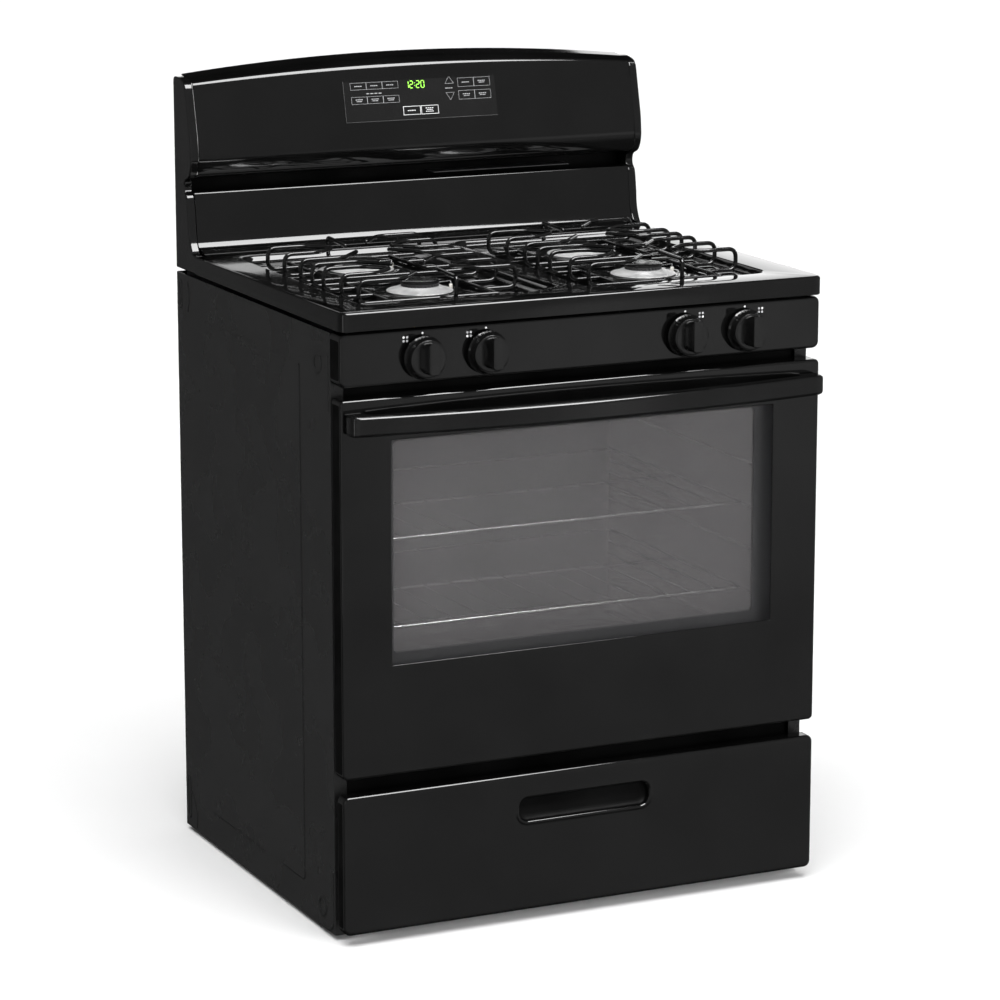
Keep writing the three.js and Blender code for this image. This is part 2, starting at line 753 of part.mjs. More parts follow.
// ---------- oven door ----------
const NOTCH = { half: 12, innerHalf: 17, top: DOOR_PIVOT.z + 20 };
const notches = (half) =>
  [-1, 1].map((side) =>
    box(
      [side * HINGE_X - half, side * HINGE_X + half],
      [DOOR_FRONT + SHEET + 0.6, DOOR.rear + 10],
      [DOOR.bottom - 5, NOTCH.top],
    ),
  );
const windowRect = ({ half, bottom, top }, grow, radius) =>
  roundedRect([-half - grow, half + grow], [bottom - grow, top + grow], radius);

const PIN = { radius: 3, half: 15 };
const LUG = { thick: 3, offset: NOTCH.half - 3 };

function makeDoorFrame() {
  const { half, bottom, top } = DOOR;
  const rear = DOOR.rear - 6;
  const outer = frontPrism(roundedRect([-half, half], [bottom, top], 5), DOOR_FRONT, rear);
  const inner = frontPrism(
    roundedRect([-half + SHEET, half - SHEET], [bottom + SHEET, top - SHEET], 4),
    DOOR_FRONT + SHEET,
    rear + 5,
  );
  const windowHole = frontPrism(windowRect(DOOR_WINDOW, 0, 6), DOOR_FRONT - 5, DOOR_FRONT + 5);
  const skin = cut(outer, inner, windowHole, ...notches(NOTCH.half));
  const lugs = [-1, 1].flatMap((side) =>
    [-1, 1].map((end) => {
      const x = side * HINGE_X + end * LUG.offset;
      const across = [x - LUG.thick / 2, x + LUG.thick / 2];
      return box(across, [DOOR_FRONT + 0.5, DOOR_PIVOT.y + 7], [bottom + 0.5, bottom + 16]);
    }),
  );
  const pinHoles = [-1, 1].map((side) =>
    rod("x", PIN.radius + 0.4, side * HINGE_X - 20, side * HINGE_X + 20, [DOOR_PIVOT.y, DOOR_PIVOT.z], 12),
  );
  return cut(join(skin, ...lugs), ...pinHoles);
}
add("door_frame", makeDoorFrame(), enamel);

add(
  "door_outer_glass",
  frontPrism(windowRect(DOOR_WINDOW, -CLEAR, 6 - CLEAR), DOOR_FRONT + 0.3, DOOR_FRONT + 4.3),
  glass,
);

function makeDoorInnerPanel() {
  const half = DOOR.half - 4;
  const bottom = DOOR.bottom + 4;
  const top = DOOR.top - 4;
  const front = DOOR.rear - 14;
  const outer = frontPrism(roundedRect([-half, half], [bottom, top], 4), front, DOOR.rear);
  const inner = frontPrism(
    roundedRect([-half + SHEET, half - SHEET], [bottom + SHEET, top - SHEET], 3),
    front - 5,
    DOOR.rear - SHEET,
  );
  const opening = frontPrism(windowRect(INNER_WINDOW, 0, 6), front - 5, DOOR.rear + 5);
  return cut(outer, inner, opening, ...notches(NOTCH.innerHalf));
}
add("door_inner_panel", makeDoorInnerPanel(), ovenEnamel);

const innerGlassRear = DOOR.rear - SHEET - CLEAR;
add(
  "door_inner_glass",
  frontPrism(windowRect(INNER_WINDOW, 7, 8), innerGlassRear - 3.5, innerGlassRear),
  glass,
);

const GASKET = { half: 326, bottom: 299, top: 770, width: 11 };
function makeGasket() {
  const ring = windowRect(GASKET, 0, 24);
  ring.holes.push(windowRect(GASKET, -GASKET.width, 24 - GASKET.width));
  return frontPrism(ring, DOOR.rear + CLEAR, FRAME_FRONT - CLEAR);
}
add("door_gasket", makeGasket(), seal);

// The handle is bowed in plan: its front and back edges are two flat parabolas.
const HANDLE = { half: 373, bottom: 743, top: 772, sweep: 28, rearSag: 24, edge: 3 };

function makeHandle() {
  const foot = DOOR_FRONT - CLEAR;
  const inset = HANDLE.edge;
  const frontAt = (x) => HANDLE_FRONT + inset + HANDLE.sweep * (x / 356) ** 2;
  const rearAt = (x) => DECK_FRONT - 30 - inset + HANDLE.rearSag * (x / 330) ** 2;
  const spots = [-356, -310, -250, -180, -95, 0, 95, 180, 250, 310, 356];
  const innerSpots = [330, 300, 240, 165, 85, 0, -85, -165, -240, -300, -330];
  const end = HANDLE.half - inset;
  const outline = [
    [-end, foot],
    [-end, DECK_FRONT - 14],
    [-366, DECK_FRONT - 19],
    ...spots.map((x) => [x, frontAt(x)]),
    [366, DECK_FRONT - 19],
    [end, DECK_FRONT - 14],
    [end, foot],
    [346, foot],
    [342, DECK_FRONT - 1],
    ...innerSpots.map((x) => [x, rearAt(x)]),
    [-342, DECK_FRONT - 1],
    [-346, foot],
  ];
  const height = HANDLE.top - HANDLE.bottom;
  const bar = new THREE.ExtrudeGeometry(shapePoints(outline), {
    depth: height - 2 * inset,
    bevelThickness: inset,
    bevelSize: inset,
    bevelSegments: 1,
  }).translate(0, 0, HANDLE.bottom + inset);
  return cut(bar, box([-400, 400], [foot, foot + 20], [HANDLE.bottom - 5, HANDLE.top + 5]));
}
add("door_handle", makeHandle(), blackPlastic);

// Each hinge is a bracket on the front frame that carries a pin; the door's lugs turn on the pin.
function makeHinge(side) {
  const x = side * HINGE_X;
  const { y, z } = DOOR_PIVOT;
  const arm = box([x - 5, x + 5], [y - 6, FRAME_FRONT - CLEAR], [z - 6, z + 6]);
  const foot = box([x - 5, x + 5], [FRAME_FRONT - CLEAR - 3, FRAME_FRONT - CLEAR], [z - 8, z + 16]);
  const pin = rod("x", PIN.radius, x - PIN.half, x + PIN.half, [y, z], 12);
  return join(arm, foot, pin);
}
add("door_hinge_left", makeHinge(-1), galvanised);
add("door_hinge_right", makeHinge(1), galvanised);

// ---------- storage drawer ----------
function makeDrawerFront() {
  const { half, bottom, top, depth } = DRAWER;
  const rear = DRAWER_FRONT + depth;
  const outer = frontPrism(roundedRect([-half, half], [bottom, top], 9), DRAWER_FRONT, rear);
  const inner = frontPrism(
    roundedRect([-half + SHEET, half - SHEET], [bottom + SHEET, top - SHEET], 9 - SHEET),
    DRAWER_FRONT + SHEET,
    rear + 5,
  );
  const pullOuter = frontPrism(
    roundedRect(
      [-PULL.half - SHEET, PULL.half + SHEET],
      [PULL.bottom - SHEET, PULL.top + SHEET],
      PULL.radius,
    ),
    DRAWER_FRONT + 0.5,
    DRAWER_FRONT + PULL.depth + SHEET,
  );
  const pullInner = frontPrism(
    roundedRect([-PULL.half, PULL.half], [PULL.bottom, PULL.top], PULL.radius - SHEET),
    DRAWER_FRONT - 5,
    DRAWER_FRONT + PULL.depth,
  );
  return cut(join(cut(outer, inner), pullOuter), pullInner);
}
add("drawer_front", makeDrawerFront(), enamel);

function makeDrawerPan() {
  const { half, front, rear, bottom, top } = PAN;
  const outer = box([-half, half], [front, rear], [bottom, top]);
  const inner = box(
    [-half + SHEET, half - SHEET],
    [front + SHEET, rear - SHEET],
    [bottom + SHEET, top + 5],
  );
  const runners = [-1, 1].map((side) =>
    box([side * (half - 0.5), side * (half + 6)], [front + 30, rear], [bottom + 46, bottom + 48]),
  );
  return join(cut(outer, inner), ...runners);
}
add("drawer_pan", makeDrawerPan(), galvanised);

function makeDrawerRail(side) {
  const z = PAN.bottom + 45.5;
  const web = box([side * 343.5, side * 345], [-234, 300], [z - 16, z + 8]);
  const shelf = box([side * (PAN.half + 1.5), side * 345], [-234, 300], [z - 1.5, z]);
  return join(web, shelf);
}
add("drawer_rail_left", makeDrawerRail(-1), galvanised);
add("drawer_rail_right", makeDrawerRail(1), galvanised);

export default range;
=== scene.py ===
import math

import bmesh
import bpy
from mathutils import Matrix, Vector


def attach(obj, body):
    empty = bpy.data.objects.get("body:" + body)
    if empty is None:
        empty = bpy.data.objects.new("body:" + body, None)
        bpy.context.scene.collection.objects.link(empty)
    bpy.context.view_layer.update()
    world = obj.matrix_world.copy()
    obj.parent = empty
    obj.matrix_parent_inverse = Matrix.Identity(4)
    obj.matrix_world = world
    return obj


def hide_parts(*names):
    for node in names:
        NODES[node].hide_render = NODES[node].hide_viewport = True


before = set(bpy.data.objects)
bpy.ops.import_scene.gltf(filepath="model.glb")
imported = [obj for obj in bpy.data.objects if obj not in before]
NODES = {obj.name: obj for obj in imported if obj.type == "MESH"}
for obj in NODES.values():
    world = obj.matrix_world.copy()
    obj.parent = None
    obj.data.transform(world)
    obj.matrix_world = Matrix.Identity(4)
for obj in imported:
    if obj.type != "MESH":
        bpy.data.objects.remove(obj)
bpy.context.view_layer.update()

MM = 0.001

# ---------- driving dimensions, in millimetres, as in the CAD source ----------
HALF_WIDTH = 379.5
DECK = 914.0
DECK_FRONT = -294.0
PANEL_FRONT = DECK_FRONT + 7.7
DOOR_FRONT = DECK_FRONT + 6.4
DRAWER_FRONT = DECK_FRONT + 6.0
HANDLE_FRONT = -346.0
REAR = 346.0
SIDE_HALF = 378.0
SIDE_TOP = 880.6
END_CAP_WIDTH = 13.2
GUARD_HALF = SIDE_HALF - END_CAP_WIDTH - 0.4
WELL_FLOOR = DECK - 10
BURNER_X = 179.5
BURNER_Y = {"front": DECK_FRONT + 182, "rear": DECK_FRONT + 393}
KNOB_X = [-254, -157, 157, 254]
KNOB_Z = 843
SIDES = ((-1, "left"), (1, "right"))
BURNERS = [
    (row + "_" + side, sign * BURNER_X, BURNER_Y[row])
    for row in ("front", "rear")
    for sign, side in SIDES
]
SHEET = 1.2  # wall of a sheet piece


# ---------- materials ----------
def set_inputs(node, values):
    """Sets a node's inputs; an underscore stands for a space in their names."""
    for socket, value in values.items():
        node.inputs[socket.replace("_", " ")].default_value = value


def add_node(tree, kind, **values):
    node = tree.nodes.new("ShaderNode" + kind)
    set_inputs(node, values)
    return node


def node_material(name, **values):
    material = bpy.data.materials.new(name)
    material.use_nodes = True
    tree = material.node_tree
    shader = tree.nodes["Principled BSDF"]
    set_inputs(shader, values)
    return material, tree, shader, add_node(tree, "TexCoord").outputs["Object"]


def noise(tree, coords, scale, detail=3.0):
    texture = add_node(tree, "TexNoise", Scale=scale, Detail=detail)
    tree.links.new(coords, texture.inputs["Vector"])
    return texture.outputs["Fac"]


def spread(tree, value, low, high, start=0.35, end=0.65):
    """Maps a value from start..end to low..high."""
    node = add_node(tree, "MapRange", From_Min=start, From_Max=end, To_Min=low, To_Max=high)
    tree.links.new(value, node.inputs["Value"])
    return node.outputs["Result"]


def calculate(tree, operation, a, b=None):
    """A math node's output; b is an output, a number or nothing."""
    node = add_node(tree, "Math")
    node.operation = operation
    tree.links.new(a, node.inputs[0])
    if isinstance(b, float):
        node.inputs[1].default_value = b
    elif b:
        tree.links.new(b, node.inputs[1])
    return node.outputs[0]


def colour_of(tone):
    """A single number stands for a grey."""
    return tone if isinstance(tone, tuple) else (tone, tone, tone)


def blend_colours(tree, value, low, high, start=0.35, end=0.65):
    ramp = add_node(tree, "ValToRGB")
    for stop, place, tone in zip(ramp.color_ramp.elements, (start, end), (low, high)):
        stop.position = place
        stop.color = (*colour_of(tone), 1)
    tree.links.new(value, ramp.inputs["Fac"])
    return ramp.outputs["Color"]


def bump(tree, shader, value, strength, depth_mm):
    node = add_node(tree, "Bump", Strength=strength, Distance=depth_mm * MM)
    tree.links.new(value, node.inputs["Height"])
    tree.links.new(node.outputs["Normal"], shader.inputs["Normal"])


def surface(name, dark, light, rough, grain, metallic=0.0, specular=0.5, patch=9.0):
    """A finish with patchy colour and roughness; grain is (scale, strength, depth in mm) of its bump."""
    material, tree, shader, coords = node_material(name, Metallic=metallic, Specular_IOR_Level=specular)
    colour = blend_colours(tree, noise(tree, coords, patch, 5), dark, light)
    tree.links.new(colour, shader.inputs["Base Color"])
    haze = noise(tree, coords, patch * 2.3, 6)
    tree.links.new(spread(tree, haze, *rough), shader.inputs["Roughness"])
    scale, strength, depth = grain
    bump(tree, shader, noise(tree, coords, scale, 2), strength, depth)
    return material


def speckled(name, base, fleck, rough, scale=900, amount=0.72):
    """Porcelain enamel with fine pale flecks."""
    material, tree, shader, coords = node_material(name)
    flecks = noise(tree, coords, scale, 1)
    colour = blend_colours(tree, flecks, base, fleck, amount - 0.03, amount)
    tree.links.new(colour, shader.inputs["Base Color"])
    tree.links.new(spread(tree, noise(tree, coords, 25, 4), *rough), shader.inputs["Roughness"])
    bump(tree, shader, noise(tree, coords, 350, 2), 0.04, 0.1)
    return material


def screen_glass(name, pitch=2.6):
    """Tinted glass with a fine printed dot screen, its dots a pitch in millimetres apart."""
    material, tree, shader, coords = node_material(name, Roughness=0.05)
    split = add_node(tree, "SeparateXYZ")
    tree.links.new(coords, split.inputs["Vector"])
    waves = []
    for axis in ("X", "Z"):
        angle = calculate(tree, "MULTIPLY", split.outputs[axis], 2 * math.pi / (pitch * MM))
        waves.append(calculate(tree, "COSINE", angle))
    dots = calculate(tree, "ADD", *waves)
    tree.links.new(spread(tree, dots, 0.30, 0.17, -0.5, 0.3), shader.inputs["Alpha"])
    smudge = blend_colours(tree, noise(tree, coords, 3, 3), (0.25, 0.241, 0.245), (0.30, 0.289, 0.294))
    tree.links.new(smudge, shader.inputs["Base Color"])
    return material


def clear_glass(name):
    material, tree, shader, coords = node_material(
        name, Base_Color=(0.02, 0.02, 0.022, 1), Alpha=0.10, Specular_IOR_Level=0.42,
    )
    tree.links.new(spread(tree, noise(tree, coords, 12, 4), 0.03, 0.07), shader.inputs["Roughness"])
    return material


def glowing(name, colour, strength):
    material, tree, shader, coords = node_material(name, Base_Color=(*colour, 1), Emission_Strength=strength)
    glow = blend_colours(tree, noise(tree, coords, 300, 2), tuple(0.8 * c for c in colour), colour)
    tree.links.new(glow, shader.inputs["Emission Color"])
    return material


# Painted, plated, moulded and printed finishes: the record's slot, the dark and light tones, the ranges of
# roughness, the grain, and then metallic, specular and patch where they aren't the usual 0, 0.5 and 9.
SURFACES = {
    "enamel": ("black_enamel", 0.0016, 0.0028, (0.045, 0.085), (160, 0.012, 0.15), 0, 0.42),
    "side_paint": ("black_enamel", 0.0115, 0.0125, (0.24, 0.30), (300, 0.012, 0.1), 0, 0.35, 5),
    "galvanised": ("galvanised_steel", (0.40, 0.41, 0.42), (0.58, 0.59, 0.60), (0.32, 0.5), (90, 0.1, 0.1),
                   0.9, 0.5, 45),
    "dark_steel": ("dark_steel", (0.02, 0.02, 0.021), (0.035, 0.035, 0.036), (0.45, 0.6), (500, 0.2, 0.1)),
    "chrome": ("chrome_wire", 0.55, 0.72, (0.08, 0.22), (300, 0.1, 0.05), 1, 0.5, 60),
    "brass": ("valve_brass", (0.42, 0.30, 0.12), (0.60, 0.44, 0.20), (0.22, 0.4), (700, 0.1, 0.05),
              1, 0.5, 120),
    "knob": ("knob_plastic", 0.003, 0.005, (0.14, 0.2), (900, 0.08, 0.05)),
    "aluminium": ("cast_aluminium", 0.70, 0.84, (0.3, 0.45), (800, 0.2, 0.06), 0.55, 0.5, 70),
    "matte_plastic": ("matte_black_plastic", 0.016, 0.024, (0.45, 0.6), (1100, 0.3, 0.08)),
    "cap": ("cap_enamel", 0.003, 0.006, (0.14, 0.24), (500, 0.1, 0.1)),
    "grate": ("grate_enamel", 0.002, 0.004, (0.10, 0.18), (420, 0.08, 0.1), 0, 0.42, 30),
    "gloss_plastic": ("gloss_black_plastic", 0.0020, 0.0034, (0.07, 0.12), (200, 0.02, 0.12), 0, 0.45),
    "touch": ("touch_glass", 0.004, 0.006, (0.10, 0.15), (600, 0.03, 0.05)),
    "print": ("touch_glass", (0.36, 0.36, 0.37), (0.46, 0.46, 0.47), (0.4, 0.55), (1500, 0.1, 0.03),
              0, 0.5, 200),
    # A pale grey for a painted highlight along the touch glass's edge.
    "edge": ("window_glass", 0.05, 0.09, (0.3, 0.4), (500, 0.05, 0.05)),
    "mask": ("black_enamel", (0.040, 0.040, 0.041), (0.046, 0.046, 0.047), (0.4, 0.5), (500, 0.05, 0.1),
             0, 0.3),
    # A near-black with almost no reflection: painted shade, put on the vent slot's plate, the front frame in the
    # gaps, the front panels' side walls and the pull's pocket.
    "vent_black": ("dark_steel", 0.001, 0.003, (0.4, 0.55), (500, 0.1, 0.1), 0, 0.06),
    "bright_print": ("black_enamel", (0.74, 0.74, 0.75), 0.86, (0.4, 0.55), (1500, 0.1, 0.03), 0, 0.5, 200),
    "gasket": ("gasket_fibre", (0.10, 0.10, 0.095), (0.22, 0.22, 0.21), (0.8, 0.95), (900, 0.7, 0.5),
               0, 0.5, 400),
    "ceramic": ("cast_aluminium", (0.70, 0.68, 0.62), (0.82, 0.80, 0.75), (0.25, 0.4), (600, 0.1, 0.05),
                0, 0.5, 100),
}
# Every finish: its material and the slot of the record that it fills.
FINISHES = {name: (surface(name + "_look", *look), slot) for name, (slot, *look) in SURFACES.items()}
FINISHES["oven_enamel"] = (
    speckled("speckled_enamel", (0.013, 0.013, 0.014), (0.035, 0.036, 0.038), (0.42, 0.55)), "oven_enamel",
)
FINISHES["clock"] = (glowing("clock_glow", (0.30, 0.85, 0.06), 1.6), "touch_glass")
FINISHES["screen"] = (screen_glass("window_screen"), "window_glass")
FINISHES["clear"] = (clear_glass("window_clear"), "window_glass")


# ---------- building blocks ----------
def add_object(name, data):
    thing = bpy.data.objects.new(name, data)
    bpy.context.scene.collection.objects.link(thing)
    return thing


def shade(bm, sharp):
    """Outward faces, smooth but for edges sharper than so many degrees."""
    bmesh.ops.recalc_face_normals(bm, faces=bm.faces)
    for edge in bm.edges:
        if len(edge.link_faces) == 2:
            edge.smooth = edge.calc_face_angle(0) < math.radians(sharp)
    for face in bm.faces:
        face.smooth = True


def finished(thing, body, finish, replaces=()):
    material, slot = FINISHES[finish]
    thing.data.materials.append(material)
    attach(thing, body)
    if replaces:
        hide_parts(*replaces)
    return thing


def mesh_of(name, verts, faces):
    mesh = bpy.data.meshes.new(name)
    mesh.from_pydata([Vector(v) * MM for v in verts], [], faces)
    return mesh


def piece(name, verts, faces, body, finish, replaces=(), sharp=38.0, bevel=None):
    """A mesh from points in millimetres, riding on a body; bevel is (width, segments)."""
    mesh = mesh_of(name, verts, faces)
    bm = bmesh.new()
    bm.from_mesh(mesh)
    bmesh.ops.remove_doubles(bm, verts=bm.verts, dist=1e-6)
    shade(bm, sharp)
    bm.to_mesh(mesh)
    bm.free()
    thing = add_object(name, mesh)
    if bevel:
        soften(thing, *bevel)
    else:
        facing = thing.modifiers.new("facing", "WEIGHTED_NORMAL")
        facing.keep_sharp = True
        facing.weight = 100
    return finished(thing, body, finish, replaces)


def soften(thing, width, segments=3, angle=34):
    edge = thing.modifiers.new("edge", "BEVEL")
    edge.width = width * MM
    edge.segments = segments
    edge.limit_method = "ANGLE"
    edge.angle_limit = math.radians(angle)
    edge.harden_normals = True
    edge.miter_outer = "MITER_ARC"


def keep(name, finish, width=None, segments=2):
    """A CAD node shown as it is, with this finish and softened edges."""
    thing = NODES[name]
    thing.data.materials.clear()
    thing.data.materials.append(FINISHES[finish][0])
    if width:
        weld = thing.modifiers.new("weld", "WELD")
        weld.merge_threshold = 0.02 * MM
        soften(thing, width, segments)


def skin(rings, loop=False):
    """Vertices and faces of a skin through rings of equal count: a closed loop of them, or capped ends."""
    count = len(rings[0])
    verts = [point for ring in rings for point in ring]
    faces = []
    for k in range(len(rings) if loop else len(rings) - 1):
        here, ahead = k * count, ((k + 1) % len(rings)) * count
        for i in range(count):
            j = (i + 1) % count
            faces.append((here + i, here + j, ahead + j, ahead + i))
    if not loop:
        last = (len(rings) - 1) * count
        faces.append(tuple(range(count)))
        faces.append(tuple(last + i for i in reversed(range(count))))
    return verts, faces


def merged(*parts):
    """Several (verts, faces) as one."""
    verts, faces = [], []
    for part_verts, part_faces in parts:
        shift = len(verts)
        verts += list(part_verts)
        faces += [tuple(i + shift for i in face) for face in part_faces]
    return verts, faces


def arc(u, v, radius, turns):
    return [(u + radius * math.cos(turn), v + radius * math.sin(turn)) for turn in turns]


def circle(u, v, radius, count):
    return arc(u, v, radius, (2 * math.pi * k / count for k in range(count)))


def corner(u, v, radius, start, steps):
    """Points of a quarter turn about (u, v), from a start angle in degrees."""
    return arc(u, v, radius, (math.radians(start + 90 * k / steps) for k in range(steps + 1)))


def rounded(x0, x1, z0, z1, radius, steps=6):
    """Points of a rounded rectangle, as pairs."""
    radius = max(radius, 0.05)
    left, right, low, high = x0 + radius, x1 - radius, z0 + radius, z1 - radius
    return (corner(right, low, radius, -90, steps) + corner(right, high, radius, 0, steps)
            + corner(left, high, radius, 90, steps) + corner(left, low, radius, 180, steps))


def level(points, z):
    return [(x, y, z) for x, y in points]


def upright(points, y):
    return [(x, y, z) for x, z in points]


def quarter(steps):
    return [math.pi / 2 * k / steps for k in range(steps + 1)]


def lathe(profile, sides=48, at=(0, 0, 0), axis="z"):
    """A closed turned body from (radius, height) pairs, bottom to top."""
    verts, faces = skin([level(circle(0, 0, max(radius, 0.02), sides), height) for radius, height in profile])
    turned = []
    for x, y, z in verts:
        if axis == "y":
            x, y, z = x, -z, y
        elif axis == "x":
            x, y, z = z, x, y
        turned.append((x + at[0], y + at[1], z + at[2]))
    return turned, faces


def filleted(points, radius, steps=5):
    """A polyline with its corners rounded by short curves."""
    points = [Vector(p) for p in points]
    path = [points[0]]
    for before, here, after in zip(points, points[1:], points[2:]):
        back, ahead = before - here, after - here
        reach = min(radius, back.length * 0.49, ahead.length * 0.49)
        a, b = here + back.normalized() * reach, here + ahead.normalized() * reach
        for k in range(steps + 1):
            t = k / steps
            path.append(a * (1 - t) ** 2 + here * (2 * t * (1 - t)) + b * t * t)
    path.append(points[-1])
    return path


# A wire's round end: its radius and how far out it lies, as shares of the wire's radius.
WIRE_END = ((0.05, 0.8), (0.6, 0.62), (0.9, 0.3), (1, 0))


def tube(points, radius, sides=10, closed=False, round_ends=True):
    """A round wire along a path of points in millimetres."""
    path = [Vector(p) for p in points]
    count = len(path)
    rings = []
    normal = None
    for i, here in enumerate(path):
        before = path[i - 1] if i or closed else here
        after = path[(i + 1) % count] if i < count - 1 or closed else here
        tangent = (after - before).normalized()
        if normal is None:
            helper = Vector((0, 0, 1)) if abs(tangent.z) < 0.9 else Vector((1, 0, 0))
            normal = tangent.cross(helper).normalized()
        normal = (normal - tangent * normal.dot(tangent)).normalized()
        across = tangent.cross(normal)
        spots = [(radius, 0.0)]
        if round_ends and not closed and i == 0:
            spots = [(radius * size, -radius * out) for size, out in WIRE_END]
        if round_ends and not closed and i == count - 1:
            spots = [(radius * size, radius * out) for size, out in reversed(WIRE_END)]
        for size, along in spots:
            middle = here + tangent * along
            ring = circle(0, 0, 1, sides)
            rings.append([tuple(middle + (normal * u + across * v) * size) for u, v in ring])
    return skin(rings, loop=closed)


def cuboid(x, y, z):
    corners = [(x[i], y[j], z[k]) for i in (0, 1) for j in (0, 1) for k in (0, 1)]
    faces = [(0, 1, 3, 2), (4, 6, 7, 5), (0, 4, 5, 1), (2, 3, 7, 6), (0, 2, 6, 4), (1, 5, 7, 3)]
    return corners, faces


def prism(outline, a, b, place):
    """A prism of an outline of pairs between heights a and b; place(u, v, height) gives the point."""
    return skin([[place(u, v, h) for u, v in outline] for h in (a, b)])


def raised_pad(x0, x1, z0, z1, radius, slope, place, steps=6):
    """A rounded pad with sloping edges, a ring for each (grow, rise) of its slope."""
    rings = []
    for grow, rise in slope:
        outline = rounded(x0 - grow, x1 + grow, z0 - grow, z1 + grow, radius + grow, steps)
        rings.append([place(u, v, rise) for u, v in outline])
    return skin(rings)


def cut_out(thing, parts):
    """Cuts closed parts, each (verts, faces) in millimetres, out of a mesh piece."""
    mesh = mesh_of("cutter", *merged(*parts))
    bm = bmesh.new()
    bm.from_mesh(mesh)
    bmesh.ops.recalc_face_normals(bm, faces=bm.faces)
    bm.to_mesh(mesh)
    bm.free()
    cutter = add_object("cutter", mesh)
    modifier = thing.modifiers.new("cut", "BOOLEAN")
    modifier.operation = "DIFFERENCE"
    modifier.object = cutter
    modifier.solver = "EXACT"
    graph = bpy.context.evaluated_depsgraph_get()
    result = bpy.data.meshes.new_from_object(thing.evaluated_get(graph))
    thing.modifiers.remove(modifier)
    thing.data = result
    bpy.data.objects.remove(cutter)


def front_ring(x0, x1, z0, z1, radius, y, steps=6):
    return upright(rounded(x0, x1, z0, z1, radius, steps), y)


def panel_ring(panel, grow, radius, y):
    """A ring round a panel of half width, bottom and top, grown by so much."""
    half, low, high = panel["half"], panel["bottom"], panel["top"]
    return front_ring(-half - grow, half + grow, low - grow, high + grow, radius, y)


def pillow_rings(panel, radius, front, rear, edge, steps=5):
    """Rings from a panel's rear edge round its softened front edge to the start of its flat face."""
    rings = [panel_ring(panel, 0, radius, rear)]
    for angle in quarter(steps):
        inset = edge * (1 - math.cos(angle))
        rings.append(panel_ring(panel, -inset, radius - inset, front + edge * (1 - math.sin(angle))))
    return rings


def flank(name, half, y0, y1, z0, z1, body):
    """Near-black strips on a front panel's two side walls, where it faces the side panels' edges: painted shade
    of the gap between them.
    """
    parts = []
    for side, _ in SIDES:
        a, b = sorted((side * (half - 0.3), side * (half + 0.15)))
        parts.append(prism(rounded(y0, y1, z0, z1, 3, 4), a, b, lambda u, v, h: (h, u, v)))
    piece(name, *merged(*parts), body, "vent_black")


# ---------- camera, light and floor ----------
CAMERA_AT = Vector((-2.3866, -5.0359, 1.7996))
CAMERA_AZIMUTH, CAMERA_ELEVATION = math.radians(25.36), math.radians(12.555)
# Soft boxes: place, target and size in metres, radiance, and whether they light gloss or fill matt surfaces.
SOFT_BOXES = {
    "top": ((0.35, -1.65, 3.3), (0.35, -1.65, 0), (2.4, 2.4), 20, "gloss"),
    "left": ((-2.3, -1.3, 0.9), (0, -0.3, 0.6), (0.16, 2.0), 3, "gloss"),
    "rear_right": ((3.2, 4.4, 1.7), (0.2, 0, 0.8), (4.4, 1.6), 1.7, "gloss"),
    "front_fill": ((1.2, -4.2, 1.3), (0, 0, 0.6), (2.6, 1.6), 10, "fill"),
}


def aim(thing, at, target):
    thing.location = at
    thing.rotation_mode = "QUATERNION"
    thing.rotation_quaternion = (Vector(target) - Vector(at)).to_track_quat("-Z", "Y")


def add_camera():
    camera = add_object("camera", bpy.data.cameras.new("camera"))
    flat = math.cos(CAMERA_ELEVATION)
    forward = Vector((
        math.sin(CAMERA_AZIMUTH) * flat, math.cos(CAMERA_AZIMUTH) * flat, -math.sin(CAMERA_ELEVATION),
    ))
    aim(camera, CAMERA_AT, CAMERA_AT + forward)
    camera.data.lens = 137.57
    camera.data.sensor_width = 36
    camera.data.clip_end = 200
    bpy.context.scene.camera = camera


def soft_box(name, at, target, size, radiance, kind):
    data = bpy.data.lights.new(name, "AREA")
    data.shape = "RECTANGLE"
    data.size, data.size_y = size
    data.energy = radiance * math.pi * size[0] * size[1]
    thing = add_object(name, data)
    aim(thing, at, target)
    thing.visible_glossy = kind == "gloss"
    thing.visible_diffuse = kind == "fill"
    thing.visible_camera = False


def add_sun():
    data = bpy.data.lights.new("sky_fill", "SUN")
    data.energy = 3.4
    data.angle = math.radians(60)
    thing = add_object("sky_fill", data)
    aim(thing, (-1, -1.5, 6), (0, 0, 0))
    thing.visible_glossy = False


def add_world():
    """A studio lit from the front right, with a dim wall to the left and a dark back."""
    world = bpy.data.worlds.new("studio")
    world.use_nodes = True
    tree = world.node_tree
    background = tree.nodes["Background"]
    coords = add_node(tree, "TexCoord").outputs["Generated"]

    def towards(direction):
        node = add_node(tree, "VectorMath")
        node.operation = "DOT_PRODUCT"
        node.inputs[1].default_value = direction
        tree.links.new(coords, node.inputs[0])
        return node.outputs["Value"]

    front = spread(tree, towards((0.42, -0.90, -0.10)), 0.012, 0.37, -0.35, 0.75)
    glow = spread(tree, towards((0.455, -0.875, -0.165)), 0, 0.30, 0.9952, 0.9997)
    left = spread(tree, towards((1, 0, 0)), 0.13, 0, -0.40, -0.10)
    below = spread(tree, towards((0, 0, 1)), 0.2, 1, -0.5, -0.32)
    lit = calculate(tree, "ADD", calculate(tree, "ADD", front, glow), left)
    tree.links.new(calculate(tree, "MULTIPLY", lit, below), background.inputs["Color"])
    bpy.context.scene.world = world


